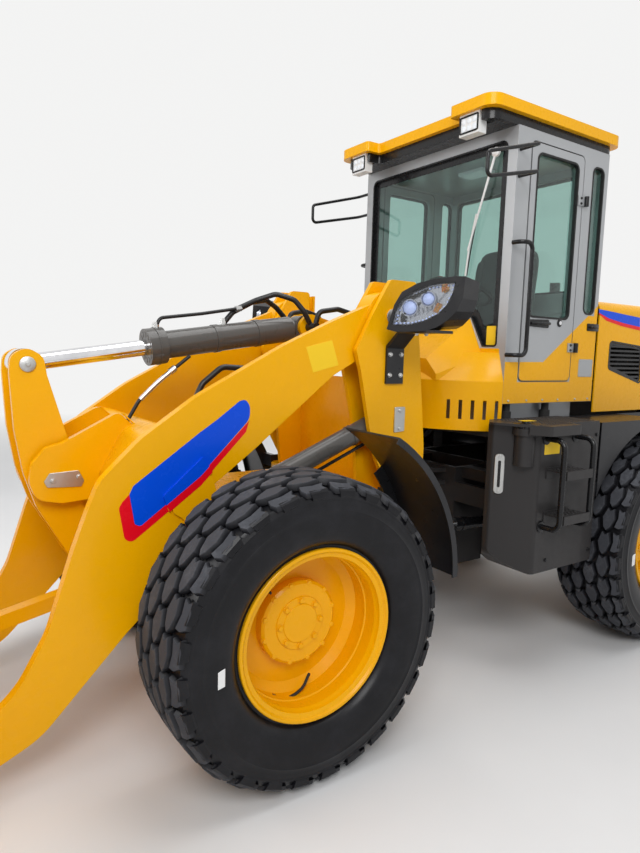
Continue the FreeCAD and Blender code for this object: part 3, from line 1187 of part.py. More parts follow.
def make_pipes():
    """Steel pipes and hoses of the boom's cylinders; the tilt cylinder's turn about its base pin."""
    x, z = TILT_BASE_PIN
    near, far = TILT_STAY[1] + 30, TILT_STAY[1] + 60
    pipe, left, right = tubes((
        (PIPE_RADIUS, 30, ((1500, 0, 1716), (1478, 0, 1760), (1276, 0, 1790), (1060, 0, 1830))),
        (HOSE_RADIUS, 60, ((1090, 0, 1824), (1000, 8, 1868), (905, 40, 1905), (822, 80, 1880),
                           (778, near, 1826), (x, near, z))),
        (HOSE_RADIUS, 50, ((1160, -16, 1750), (1110, -18, 1806), (1000, -24, 1862), (905, -60, 1880),
                           (822, -near, 1850), (776, -near, 1806), (x, -near, z))),
    ))
    swivel = pin(TILT_BASE_PIN, (TILT_STAY[1] + 5, near + 16), 21)
    pipes = fuse(pipe, left, swivel), fuse(right, mirrored(swivel))
    add("tilt_pipes", *[cut(piece, nodes["tilt_barrel"]) for piece in pipes])
    fixed = []
    for sign in (1, -1):
        hose = tubes([(HOSE_RADIUS, 36, (
            (x, sign * far, z), (x - 18, sign * (far + 6), z + 76), (x - 120, sign * (far + 22), z + 94),
            (x - 220, sign * (far + 34), z + 70), (x - 272, sign * (far + 40), z - 40),
            (x - 280, sign * (far + 44), z - 300), (x - 271, sign * (far + 46), z - 350)))])
        y = sorted((sign * (near + 18), sign * (far + 16)))
        fixed.append(cut(fuse(pin(TILT_BASE_PIN, y, 21), *hose), nodes["front_frame"]))
    add("frame_hoses", *fixed)
    steel = tubes((
        (PIPE_RADIUS, 60, ((1380, 106, 1594), (1440, 108, 1548), (1530, 108, 1478),
                           (1614, 108, 1396), (1662, 108, 1314))),
    ))
    loop = tubes((
        (HOSE_RADIUS, 60, ((1495, 250, 1268), (1425, 250, 1390), (1383, 250, 1478), (1290, 250, 1552),
                           (1170, 262, 1545), (1110, 320, 1490), (1095, 428, 1470))),
    ))
    add("boom_pipes", *[cut(piece, nodes["boom"]) for piece in steel + loop])


def make_bucket():
    t, back, foot = BUCKET_PLATE, BUCKET_BACK, BUCKET_BACK + 20
    shell_outline = (
        (BUCKET_TIP, 0), (2900, 0, 260), (back, 190, 220), (foot, 560, 200), (2740, BUCKET_TOP),
        (2740 + t, BUCKET_TOP), (foot + t, 560, 190), (back + t, 196, 205), (2905, t, 250),
        (BUCKET_TIP - 20, t),
    )
    side_outline = (
        (BUCKET_TIP - 40, 0), (2900, 0, 260), (back, 190, 220), (foot, 560, 200), (2740, BUCKET_TOP),
        (2800, BUCKET_TOP, 20), (3180, 480, 200), (BUCKET_TIP - 20, 60, 30),
    )
    arm_lug = (
        (2370, 118, 60), (2294, 200, 60), (2350, 285, 60), (2480, 420, 60), (back + 18, 520), (back + 6, 180),
        (2640, 90, 20),
    )
    link_lug = ((2430, 372, 40), (2410, 450, 50), (2480, 500, 50), (back + 24, 540), (back + 12, 330))
    width = (-BUCKET_HALF_WIDTH, BUCKET_HALF_WIDTH)
    shell = side_plate(shell_outline, width)
    pieces = []
    for sign in (1, -1):
        def span(y):
            return tuple(sorted((sign * y[0], sign * y[1])))
        cheek = span((BUCKET_HALF_WIDTH - BUCKET_SIDE_PLATE, BUCKET_HALF_WIDTH))
        pieces.append(side_plate(side_outline, cheek))
        for y in ((380, 400), (500, 520)):
            pieces.append(side_plate(arm_lug, span(y)))
        pieces.append(pin(BUCKET_PIVOT, span((374, 526)), BOOM_PIN_RADIUS))
        pieces.append(side_plate(link_lug, span((36, 60))))
    pieces.append(pin(BUCKET_LINK_PIN, (-66, 66), LINK_PIN_RADIUS))
    top_rail = box((2738, 2800), width, (BUCKET_TOP - 12, BUCKET_TOP))
    edge_rear = BUCKET_TIP - 160
    edge_outline = ((BUCKET_TIP + 30, 0), (edge_rear, 0), (edge_rear, 24), (BUCKET_TIP - 30, 24))
    edge = side_plate(edge_outline, width)
    add("bucket", fuse(shell, top_rail, edge, *pieces))


make_wheels()
make_axles()
make_drive_shafts()
make_front_frame()
make_rear_frame()
make_engine_and_counterweight()
make_cab()
make_doors()
make_cowl()
make_cab_inside()
make_hood()
make_tanks()
make_rails()
make_fenders()
make_lamps()
make_boom()
make_bell_crank()
make_link()
make_cylinders()
make_pipes()
make_bucket()

whole = Part.makeCompound(list(nodes.values())).BoundBox
X_SHIFT = -(whole.XMin + whole.XMax) / 2
for name, shape in nodes.items():
    shape.translate(Vector(X_SHIFT, 0, 0))
    shape.exportStep(f"parts/{name}.step")
size = f"{whole.XLength:.0f} x {whole.YLength:.0f} x {whole.ZLength:.0f}"
print(f"{len(nodes)} pieces, {size}, shift {X_SHIFT:.1f}")
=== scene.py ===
"""Looks of the wheel loader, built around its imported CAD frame.

Pieces are drawn in millimetres in the machine's own frame, which the CAD source uses too:
+X points to the bucket, +Y to the driver's left, +Z up, with the steering pivot above the
origin. done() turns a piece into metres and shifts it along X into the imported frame, and
pair() first adds its mirror image.
"""
import json
from math import cos, pi, radians, sin, tan, tau

import bmesh
import bpy
from mathutils import Matrix, Vector


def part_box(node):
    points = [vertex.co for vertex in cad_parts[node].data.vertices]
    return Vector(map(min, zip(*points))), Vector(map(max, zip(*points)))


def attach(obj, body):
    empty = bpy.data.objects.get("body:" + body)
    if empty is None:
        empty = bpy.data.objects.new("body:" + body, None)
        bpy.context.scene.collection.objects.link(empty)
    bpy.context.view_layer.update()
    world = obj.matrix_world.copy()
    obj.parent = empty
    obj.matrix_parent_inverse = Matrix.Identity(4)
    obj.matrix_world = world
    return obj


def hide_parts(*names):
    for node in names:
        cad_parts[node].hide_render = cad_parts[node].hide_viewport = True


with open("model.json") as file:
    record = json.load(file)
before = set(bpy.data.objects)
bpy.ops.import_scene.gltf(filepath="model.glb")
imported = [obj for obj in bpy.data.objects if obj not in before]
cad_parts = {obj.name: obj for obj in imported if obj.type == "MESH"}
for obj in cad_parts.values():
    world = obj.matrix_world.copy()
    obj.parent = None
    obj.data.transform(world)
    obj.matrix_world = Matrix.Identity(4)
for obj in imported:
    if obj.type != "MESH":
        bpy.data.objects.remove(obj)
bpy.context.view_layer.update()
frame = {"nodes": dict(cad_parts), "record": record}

MM = 0.001
FRONT_AXLE_X = 1225.0
HALF_TRACK = 800.0


def middle(node):
    """Centre of a CAD node's box, in metres."""
    low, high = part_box(node)
    return (low + high) / 2


def placed(name, data):
    """New object in the scene."""
    item = bpy.data.objects.new(name, data)
    bpy.context.scene.collection.objects.link(item)
    return item


SHIFT = middle("rim_front_left").x - FRONT_AXLE_X * MM
TO_FRAME = Matrix.Translation((SHIFT, 0, 0)) @ Matrix.Scale(MM, 4)
AXLE_HEIGHT = middle("rim_front_left").z / MM
SIDES = (("left", 1), ("right", -1))
OUT = (0, 1, 0)
UP = (0, 0, 1)


def make_camera():
    """Camera fitted to the photograph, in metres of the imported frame."""
    place = Vector((2.111, 2.802, 1.634))
    yaw, pitch, roll = (radians(a) for a in (-124.29, 6.78, 1.637))
    ahead = Vector((cos(pitch) * cos(yaw), cos(pitch) * sin(yaw), -sin(pitch)))
    right = Vector((sin(yaw), -cos(yaw), 0))
    up = right.cross(ahead)
    data = bpy.data.cameras.new("camera")
    data.sensor_fit = "VERTICAL"
    data.sensor_height = 36
    data.lens = 26.89
    data.clip_end = 200
    camera = placed("camera", data)
    turn = Matrix((right, up, -ahead)).transposed() @ Matrix.Rotation(roll, 3, "Z")
    camera.matrix_world = Matrix.Translation(place) @ turn.to_4x4()
    bpy.context.scene.camera = camera


# Material helpers
class Nodes:
    """Node tree of a material, or of the world, with short calls for the usual nodes."""

    def __init__(self, name, owner=None):
        self.owner = owner or bpy.data.materials.new(name)
        self.owner.use_nodes = True
        self.tree = self.owner.node_tree
        self.tree.nodes.clear()
        self.out = self.add("ShaderNodeOutputWorld" if owner else "ShaderNodeOutputMaterial")
        self.place = self.add("ShaderNodeTexCoord").outputs["Object"]

    def add(self, kind, inputs=(), **settings):
        node = self.tree.nodes.new(kind)
        for key, value in settings.items():
            setattr(node, key, value)
        for key, value in dict(inputs).items():
            if isinstance(value, bpy.types.NodeSocket):
                self.tree.links.new(value, node.inputs[key])
            else:
                node.inputs[key].default_value = value
        return node

    def full(self, value):
        """A colour gets its fourth channel; anything else stays."""
        return (*value, 1) if isinstance(value, tuple) else value

    def noise(self, scale, detail=3.0, rough=0.55, place=None):
        found = self.add("ShaderNodeTexNoise", {
            "Vector": place or self.place, "Scale": scale, "Detail": detail, "Roughness": rough})
        return found.outputs["Fac"]

    def span(self, value, low, high, new_low=0.0, new_high=1.0):
        found = self.add("ShaderNodeMapRange", {
            "Value": value, "From Min": low, "From Max": high, "To Min": new_low, "To Max": new_high})
        return found.outputs["Result"]

    def mix(self, share, first, second):
        inputs = {0: share, 6: self.full(first), 7: self.full(second)}
        return self.add("ShaderNodeMix", inputs, data_type="RGBA").outputs[2]

    def maths(self, operation, first, second=0.0):
        found = self.add("ShaderNodeMath", {0: first, 1: second}, operation=operation)
        return found.outputs[0]

    def bump(self, height, distance, strength=1.0, normal=None):
        below = {"Normal": normal} if normal else {}
        inputs = {"Height": height, "Distance": distance, "Strength": strength, **below}
        return self.add("ShaderNodeBump", inputs).outputs["Normal"]

    def shader(self, **inputs):
        names = {key.replace("_", " "): self.full(value) for key, value in inputs.items()}
        self.bsdf = self.add("ShaderNodeBsdfPrincipled", names)
        self.tree.links.new(self.bsdf.outputs[0], self.out.inputs[0])
        return self.owner

    def blend(self, share, first, second):
        """Two shaders mixed and joined to the output."""
        both = self.add("ShaderNodeMixShader", {0: share, 1: first.outputs[0], 2: second.outputs[0]})
        self.tree.links.new(both.outputs[0], self.out.inputs[0])
        return self.owner


def shade(colour, factor):
    return tuple(min(1.0, channel * factor) for channel in colour)


def paint(name, colour, rough=(0.24, 0.36), coat=0.08, peel=0.00003, edge=0.0025, metal=0.0):
    """Sprayed paint: slow colour drift, a dusty film in places, orange peel and softened edges."""
    n = Nodes(name)
    drift = n.span(n.noise(1.3, 2.0), 0.3, 0.7)
    film = n.span(n.noise(5.0, 5.0, 0.65), 0.52, 0.78, 0.0, 0.10)
    body = n.mix(drift, shade(colour, 0.95), shade(colour, 1.05))
    body = n.mix(film, body, shade(colour, 0.78))
    worn = n.span(n.noise(24.0, 4.0), 0.35, 0.7, rough[0], rough[1])
    soft_edge = n.add("ShaderNodeBevel", {"Radius": edge}, samples=4).outputs[0]
    normal = n.bump(n.noise(420.0, 2.0), peel, 1.0, soft_edge)
    return n.shader(Base_Color=body, Roughness=worn, Normal=normal, Metallic=metal,
                    Specular_IOR_Level=0.18, Coat_Weight=coat, Coat_Roughness=0.10)


def bare_metal(name, colour, rough=(0.18, 0.34), grain=(600.0, 600.0, 40.0), depth=0.00006):
    """Machined or plated metal with fine turning marks."""
    n = Nodes(name)
    stretched = n.add("ShaderNodeMapping", {"Vector": n.place, "Scale": grain}).outputs[0]
    marks = n.noise(1.0, 4.0, 0.6, stretched)
    body = n.mix(n.span(n.noise(14.0, 3.0), 0.3, 0.7), shade(colour, 0.88), shade(colour, 1.05))
    return n.shader(Base_Color=body, Metallic=1.0, Roughness=n.span(marks, 0.3, 0.7, rough[0], rough[1]),
                    Normal=n.bump(marks, depth))


def plastic(name, colour, rough=(0.32, 0.5), grain=900.0, depth=0.00003, sheen=0.0):
    """Moulded plastic or rubber with a fine grain and faint dust."""
    n = Nodes(name)
    dust = n.span(n.noise(6.0, 5.0, 0.62), 0.5, 0.8, 0.0, 0.05)
    body = n.mix(n.span(n.noise(2.6, 2.0), 0.3, 0.7), shade(colour, 0.85), shade(colour, 1.15))
    body = n.mix(dust, body, (0.30, 0.29, 0.27))
    soft_edge = n.add("ShaderNodeBevel", {"Radius": 0.002}, samples=4).outputs[0]
    return n.shader(Base_Color=body, Roughness=n.span(n.noise(30.0, 4.0), 0.3, 0.7, rough[0], rough[1]),
                    Normal=n.bump(n.noise(grain, 2.0), depth, 1.0, soft_edge), Sheen_Weight=sheen,
                    Specular_IOR_Level=0.35)


def clear(name, colour):
    """Tinted clear sheet; light that falls through it is only dimmed."""
    n = Nodes(name)
    film = n.span(n.noise(3.0, 5.0, 0.7), 0.5, 0.8, 0.0, 0.05)
    n.shader(Base_Color=colour, Roughness=film, Transmission_Weight=1.0, IOR=1.45)
    through = n.add("ShaderNodeBsdfTransparent", {"Color": (*shade(colour, 0.65), 1)})
    path = n.add("ShaderNodeLightPath")
    return n.blend(path.outputs["Is Shadow Ray"], n.bsdf, through)


def tyre_rubber():
    """Black rubber in random patches, with painted light on the lugs' tops, which are paler, and painted
    shade on the groove walls, which darken down to the floor.
    """
    n = Nodes("tyre_rubber")
    patches = n.span(n.noise(7.0, 6.0, 0.7), 0.46, 0.74)
    fine = n.span(n.noise(60.0, 4.0, 0.6), 0.35, 0.75)
    # The tread share is painted light and shade: 1 on the lugs' tops (painted light), falling to 0 down the
    # groove walls and on the floors (painted shade).
    top = n.add("ShaderNodeAttribute", attribute_name="tread").outputs["Fac"]
    body = n.mix(patches, (0.006, 0.006, 0.0075), (0.014, 0.014, 0.017))
    tread = n.mix(n.maths("MULTIPLY", fine, patches), (0.045, 0.047, 0.055), (0.125, 0.130, 0.145))
    body = n.mix(top, body, tread)
    rough = n.span(top, 0.0, 1.0, 0.30, 0.72)
    height = n.maths("ADD", n.noise(160.0, 4.0), n.maths("MULTIPLY", n.noise(900.0, 2.0), 0.4))
    return n.shader(Base_Color=body, Roughness=rough, Normal=n.bump(height, 0.0003, 0.8),
                    Specular_IOR_Level=0.22)


def lamp_glow(name, colour, strength):
    """Lamp insert that shines faintly by itself."""
    n = Nodes(name)
    glow = n.mix(n.span(n.noise(160.0, 2.0), 0.3, 0.7), shade(colour, 0.8), colour)
    return n.shader(Base_Color=glow, Emission_Color=colour, Emission_Strength=strength, Roughness=0.25)


yellow = paint("yellow_gloss", (0.88, 0.425, 0.0))
wheel_yellow = paint("yellow_wheel", (0.84, 0.40, 0.0), rough=(0.24, 0.38))
grey = paint("silver_grey_paint", (0.40, 0.41, 0.42), rough=(0.3, 0.42), metal=0.35)
charcoal = paint("charcoal_paint", (0.030, 0.028, 0.028), rough=(0.34, 0.5), coat=0.1, peel=0.0001)
black = paint("black_gloss", (0.008, 0.008, 0.009), rough=(0.22, 0.36), coat=0.25)
barrel_grey = paint("cylinder_grey", (0.085, 0.080, 0.074), rough=(0.26, 0.4), coat=0.4)
chrome = bare_metal("chrome", (0.78, 0.78, 0.80), rough=(0.06, 0.16), grain=(30.0, 900.0, 900.0))
steel = bare_metal("zinc_steel", (0.52, 0.52, 0.51), rough=(0.3, 0.5), grain=(300.0, 300.0, 300.0))
iron = paint("cast_iron", (0.032, 0.031, 0.030), rough=(0.55, 0.75), coat=0.0, peel=0.0004)
moulded = plastic("black_moulding", (0.014, 0.014, 0.016), rough=(0.27, 0.34))
rubber = plastic("black_rubber", (0.012, 0.012, 0.012), rough=(0.5, 0.7), grain=500.0)
trim = plastic("grey_trim", (0.075, 0.078, 0.082), rough=(0.5, 0.68), grain=1400.0, depth=0.0003)
seat_cloth = plastic("seat_cloth", (0.035, 0.036, 0.04), rough=(0.7, 0.85), grain=1600.0, depth=0.0006,
                     sheen=0.4)
glass = clear("tinted_glass", (0.52, 0.68, 0.64))
lens = clear("clear_lens", (0.95, 0.97, 0.98))
blue = paint("stripe_blue", (0.0, 0.075, 0.72), rough=(0.22, 0.3), edge=0.0005)
red = paint("stripe_red", (0.80, 0.004, 0.015), rough=(0.22, 0.3), edge=0.0005)
white = paint("stripe_white", (0.80, 0.80, 0.79), rough=(0.25, 0.35), edge=0.0005)
blank_label = paint("blank_label", (0.93, 0.60, 0.02), rough=(0.3, 0.4), edge=0.0005)
amber = clear("amber_lens", (0.95, 0.42, 0.04))
red_lens = clear("red_lens", (0.75, 0.02, 0.02))
hose = plastic("hose_rubber", (0.010, 0.010, 0.011), rough=(0.26, 0.42), grain=700.0)
mirror_metal = bare_metal("reflector", (0.42, 0.43, 0.47), rough=(0.06, 0.2), grain=(90.0, 90.0, 90.0))
led_blue = lamp_glow("led_lens", (0.42, 0.50, 0.80), 0.25)
edge_steel = bare_metal("worn_steel", (0.30, 0.29, 0.28), rough=(0.3, 0.6), grain=(40.0, 12.0, 40.0),
                        depth=0.0003)
lamp_white = lamp_glow("lamp_white", (0.80, 0.84, 0.88), 0.12)
tread_rubber = tyre_rubber()

CAD_FINISH = {
    "tyre": tread_rubber, "yellow_paint": yellow, "grey_paint": grey, "charcoal_paint": charcoal,
    "black_paint": black, "black_plastic": moulded, "lamp_plastic": white, "cast_iron": iron,
    "chrome": chrome, "glass": glass, "seat_cover": seat_cloth, "hose_rubber": hose, "clear_lens": lens,
}
NODE_FINISH = {
    **{f"rim_{end}_{side}": wheel_yellow for end in ("front", "rear") for side, _ in SIDES},
    **{node: barrel_grey for node in ("tilt_barrel", "lift_barrel_left", "lift_barrel_right")},
    "cab_deck": iron, "rear_frame": charcoal, "roof_lining": black, "console": trim, "steering_wheel": rubber,
}
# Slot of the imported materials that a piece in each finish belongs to.
SLOT_OF = {finish: slot for slot, finish in CAD_FINISH.items()}
SLOT_OF.update({
    **dict.fromkeys((wheel_yellow, blank_label, blue, red, edge_steel), "yellow_paint"),
    **dict.fromkeys((lamp_white, red_lens), "lamp_plastic"),
    **dict.fromkeys((amber, led_blue), "clear_lens"),
    **dict.fromkeys((steel, mirror_metal), "chrome"),
    barrel_grey: "charcoal_paint", rubber: "hose_rubber", trim: "black_plastic",
})


def finish_cad():
    """Every carried-over CAD node gets the material of its slot, or one of its own."""
    entries = frame["record"]["materials"]
    slot_of = {node: entry["slot"] for entry in entries for node in entry.get("nodes", [])}
    for name, node in frame["nodes"].items():
        old = node.material_slots[0].material.name.split(".")[0] if node.material_slots else ""
        own = NODE_FINISH.get(name) or CAD_FINISH.get(slot_of.get(name, old)) or yellow
        node.data.materials.clear()
        node.data.materials.append(own)


# Drawing helpers
def rounded(corners, steps=5):
    """Outline points from corners (u, w) or (u, w, radius)."""
    points = []
    count = len(corners)
    for i, corner in enumerate(corners):
        here = Vector(corner[:2])
        radius = corner[2] if len(corner) > 2 else 0
        if not radius:
            points.append(here)
            continue
        before = Vector(corners[i - 1][:2]) - here
        after = Vector(corners[(i + 1) % count][:2]) - here
        room = 0.48 * min(before.length, after.length)
        before.normalize()
        after.normalize()
        half = before.angle(after) / 2
        reach = min(radius / tan(half), room)
        radius = reach * tan(half)
        centre = here + (before + after).normalized() * (radius / sin(half))
        start, end = here + before * reach - centre, here + after * reach - centre
        sweep = start.angle_signed(end)
        for step in range(steps + 1):
            points.append(centre + Matrix.Rotation(-sweep * step / steps, 2) @ start)
    return points


def rectangle(u, w, radius, steps=5):
    """Rounded outline between the ends of two ranges."""
    corners = ((u[0], w[0], radius), (u[1], w[0], radius), (u[1], w[1], radius), (u[0], w[1], radius))
    return rounded(corners, steps)


def grown(points, by):
    """The outline moved outwards by a distance; negative moves it inwards."""
    area = sum(a.x * b.y - b.x * a.y for a, b in zip(points, points[1:] + points[:1]))
    sign = 1 if area > 0 else -1
    moved = []
    for i, here in enumerate(points):
        back = (here - points[i - 1]).normalized()
        on = (points[(i + 1) % len(points)] - here).normalized()
        normals = [Vector((v.y, -v.x)) * sign for v in (back, on)]
        total = normals[0] + normals[1]
        moved.append(here + total * (by / max(0.4, 1 + normals[0].dot(normals[1]))))
    return moved


def skin(bm, rings, closed=False, caps=True):
    """Quads between rings of equally many points; caps close the first and last ring."""
    rows = [[bm.verts.new(point) for point in ring] for ring in rings]
    pairs = list(zip(rows, rows[1:]))
    if closed:
        pairs.append((rows[-1], rows[0]))
    for lower, upper in pairs:
        for i in range(len(lower)):
            j = (i + 1) % len(lower)
            bm.faces.new((lower[i], lower[j], upper[j], upper[i]))
    if caps and not closed:
        bm.faces.new(list(reversed(rows[0])))
        bm.faces.new(rows[-1])
    return rows


# Planes in which outlines (u, w) lie, at a depth d across them
def on_side(u, w, d):
    return Vector((u, d, w))


def on_level(u, w, d):
    return Vector((u, w, d))


def on_front(u, w, d):
    return Vector((d, u, w))


def slab(bm, corners, depth, place, edge=1.5):
    """Plate with softened edges between two depths; place says in which plane it lies."""
    outline = corners if isinstance(corners[0], Vector) else rounded(corners)
    low, high = min(depth), max(depth)
    edge = min(edge, (high - low) * 0.45)
    levels = ((low, -edge), (low + edge, 0), (high - edge, 0), (high, -edge))
    skin(bm, [[place(p.x, p.y, d) for p in grown(outline, by)] for d, by in levels])


def block(bm, x, y, z, edge=2.0):
    """Softened block between the ends of three ranges."""
    slab(bm, rectangle(x, y, edge, 2), z, on_level, edge)


def spokes(along, count):
    """Evenly spread directions square to an axis."""
    side = along.orthogonal().normalized()
    up = along.cross(side).normalized()
    angles = [tau * i / count for i in range(count)]
    return [side * cos(angle) + up * sin(angle) for angle in angles]


def lathe(bm, base, along, profile, segments=32, closed=False):
    """Round form about an axis from (distance along it, radius) pairs."""
    along = Vector(along).normalized()
    base = Vector(base)
    around = spokes(along, segments)
    rings = [[base + along * distance + spoke * radius for spoke in around] for distance, radius in profile]
    skin(bm, rings, closed)


def bar(bm, start, end, radius, segments=24, edge=1.5):
    """Round bar with softened ends."""
    start, end = Vector(start), Vector(end)
    length = (end - start).length
    lathe(bm, start, end - start, (
        (0, radius - edge), (edge, radius), (length - edge, radius), (length, radius - edge)), segments)


def bolt(bm, at, along, size, washer=True):
    """Hexagon head with its washer, standing on a face."""
    along = Vector(along).normalized()
    height = size * 0.2 if washer else 0.0
    if washer:
        lathe(bm, at, along, ((-1, size * 1.05), (size * 0.16, size * 1.05), (size * 0.22, size * 0.98)), 20)
    lathe(bm, Vector(at) + along * height, along, (
        (-1, size * 0.86), (size * 0.55, size * 0.86), (size * 0.66, size * 0.72)), 6)


def side_bolts(bm, y, size, *places, washer=True):
    """Bolts on a face that looks sideways, at places (x, z)."""
    for x, z in places:
        bolt(bm, (x, y, z), OUT, size, washer)


def smooth_line(points, steps=8):
    """Points along a smooth curve that passes through the given ones."""
    points = [Vector(p) for p in points]
    ends = [points[0] * 2 - points[1], *points, points[-1] * 2 - points[-2]]
    line = []
    for a, b, c, d in zip(ends, ends[1:], ends[2:], ends[3:]):
        for step in range(steps):
            t = step / steps
            line.append(0.5 * ((2 * b) + (c - a) * t + (2 * a - 5 * b + 4 * c - d) * t * t
                               + (3 * b - a - 3 * c + d) * t ** 3))
    line.append(points[-1])
    return line


def tube(bm, line, radius, segments=14):
    """Round tube along a line of points; radius may be a function of the share along it."""
    line = [Vector(p) for p in line]
    rings = []
    side = None
    for i, here in enumerate(line):
        along = (line[min(i + 1, len(line) - 1)] - line[max(i - 1, 0)]).normalized()
        if side is None:
            side = along.orthogonal().normalized()
        side = (side - along * side.dot(along)).normalized()
        up = along.cross(side)
        size = radius(i / (len(line) - 1)) if callable(radius) else radius
        rings.append([here + (side * cos(tau * k / segments)
                              + up * sin(tau * k / segments)) * size for k in range(segments)])
    skin(bm, rings)


def done(bm, name, finish, body="rear_frame", angle=35.0):
    """Turn the drawn form into a piece that rides on a body."""
    bmesh.ops.recalc_face_normals(bm, faces=bm.faces[:])
    mesh = bpy.data.meshes.new(name)
    bm.to_mesh(mesh)
    bm.free()
    mesh.transform(TO_FRAME)
    mesh.polygons.foreach_set("use_smooth", [True] * len(mesh.polygons))
    mesh.set_sharp_from_angle(angle=radians(angle))
    mesh.materials.append(finish)
    piece = placed(name, mesh)
    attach(piece, body)
    return piece


def pair(bm, name, finish, body="rear_frame"):
    """The same for a form and its mirror image on the machine's other side."""
    copy = bmesh.ops.duplicate(bm, geom=bm.verts[:] + bm.edges[:] + bm.faces[:])["geom"]
    verts = [item for item in copy if isinstance(item, bmesh.types.BMVert)]
    bmesh.ops.scale(bm, vec=(1, -1, 1), verts=verts)
    bmesh.ops.reverse_faces(bm, faces=[item for item in copy if isinstance(item, bmesh.types.BMFace)])
    return done(bm, name, finish, body)


new = bmesh.new


def make_stage():
    """Floor that fades into a white surround, the world's light and four lamps."""
    pale = (0.90, 0.90, 0.895)
    n = Nodes("floor_finish")
    n.shader(Base_Color=n.mix(n.span(n.noise(1.2, 3.0), 0.3, 0.7), shade(pale, 0.84), shade(pale, 0.88)),
             Roughness=0.62)
    glow = n.add("ShaderNodeEmission", {"Color": (*pale, 1), "Strength": 1.0})
    away = n.add("ShaderNodeVectorMath", {0: n.place}, operation="LENGTH").outputs["Value"]
    n.blend(n.span(away, 5.0, 13.0), n.bsdf, glow)
    bm = new()
    bmesh.ops.create_circle(bm, cap_ends=True, radius=60, segments=64)
    mesh = bpy.data.meshes.new("floor")
    bm.to_mesh(mesh)
    bm.free()
    mesh.materials.append(n.owner)
    placed("floor", mesh)
    world = bpy.data.worlds.new("world")
    bpy.context.scene.world = world
    n = Nodes("world", world)
    seen = n.add("ShaderNodeBackground", {"Color": (*pale, 1)})
    light = n.add("ShaderNodeBackground", {"Color": (0.93, 0.95, 1.0, 1), "Strength": 0.36})
    path = n.add("ShaderNodeLightPath")
    shown = path.outputs["Is Camera Ray"]
    for ray in ("Is Transmission Ray", "Is Glossy Ray"):
        shown = n.maths("MAXIMUM", shown, path.outputs[ray])
    n.blend(shown, light, seen)
    lamps = (
        # name, place, aimed at, width, height, watts
        ("key", (3.5, 5.5, 5.5), (0.3, 0, 1.0), 4.0, 3.0, 290),
        ("over", (-0.8, 0.5, 7.5), (-0.2, 0, 1.0), 6.0, 4.0, 260),
        ("rear", (-5.5, -3.0, 4.5), (-0.5, 0, 1.2), 3.5, 3.5, 170),
        ("bucket", (6.5, -2.5, 3.5), (1.0, 0, 0.8), 3.0, 3.0, 130),
    )
    for name, place, aim, width, height, watts in lamps:
        data = bpy.data.lights.new(name, "AREA")
        data.shape = "RECTANGLE"
        data.size, data.size_y = width, height
        data.energy = watts
        lamp = placed(name, data)
        lamp.visible_transmission = False
        lamp.visible_glossy = name != "rear"
        lamp.location = place
        lamp.rotation_euler = (Vector(aim) - Vector(place)).to_track_quat("-Z", "Y").to_euler()
    bpy.context.scene.view_settings.view_transform = "Standard"


# Tyres
TYRE_RADIUS = AXLE_HEIGHT
LUGS = 28
PITCH = tau * TYRE_RADIUS / LUGS


def crown(y):
    """Radius of the tread's top at a distance from the middle."""
    inner = TYRE_RADIUS - 5 * (min(abs(y), 150) / 150) ** 2
    return inner - max(0, abs(y) - 150) * 0.52


def tread_block(bm, tread, outline, shift, floor_drop, sunk, sign):
    """One block: its sides lean out towards the groove's floor, its top edge is softened, and its top is
    painted lighter than its walls, which hold painted shade.
    """
    levels = ((3, floor_drop), (0, sunk + 3), (-2, sunk))
    rings = []
    for by, drop in levels:
        ring = []
        for p in grown(outline, by):
            radius = crown(p.y) - drop
            angle = (p.x + shift) / TYRE_RADIUS
            ring.append(Vector((radius * sin(angle), sign * p.y, radius * cos(angle))))
        rings.append(ring)
    rows = skin(bm, rings)
    # Painted light: share 1 on the block's top, 0.35 just under its edge; the walls fall to 0 at the groove's
    # floor as painted shade.
    for row, share in ((rows[1], 0.35), (rows[2], 1.0)):
        for vert in row:
            vert[tread] = share


def arrow(inner, outer):
    """Block between two distances from the tread's middle, pointed ahead and hollow behind."""
    half = (inner + outer) / 2
    return ((-58, inner + 8), (-2, inner - 7), (46, inner + 7), (66, half), (46, outer - 7), (-2, outer + 8),
            (-58, outer - 8), (-42, half))


CENTRE_BLOCK = arrow(13, 66)
MIDDLE_BLOCK = arrow(92, 142)
SHOULDER_BLOCK = ((-58, 156), (-8, 162), (44, 154), (50, 172), (38, 192), (-20, 192), (-60, 186), (-46, 172))
SHOULDER_MOVED = 0.46
SHOULDER_BAR = (
    # distance from the middle, radius, start and end round the tyre
    (187, 562, -58, 22), (195.5, 552, -56, 20), (197.5, 532, -52, 14), (192, 522, -50, 12))


def shoulder_bar(bm, shift, across):
    """Thin bar that runs from a shoulder block down the tyre's wall."""
    rings = []
    for y, radius, low, high in SHOULDER_BAR:
        start, end = ((s + shift) / TYRE_RADIUS for s in (low, high))
        rings.append([Vector((radius * sin(angle), across * (y - inward), radius * cos(angle)))
                      for angle, inward in ((start, 0), (start, 9), (end, 9), (end, 0))])
    skin(bm, rings)


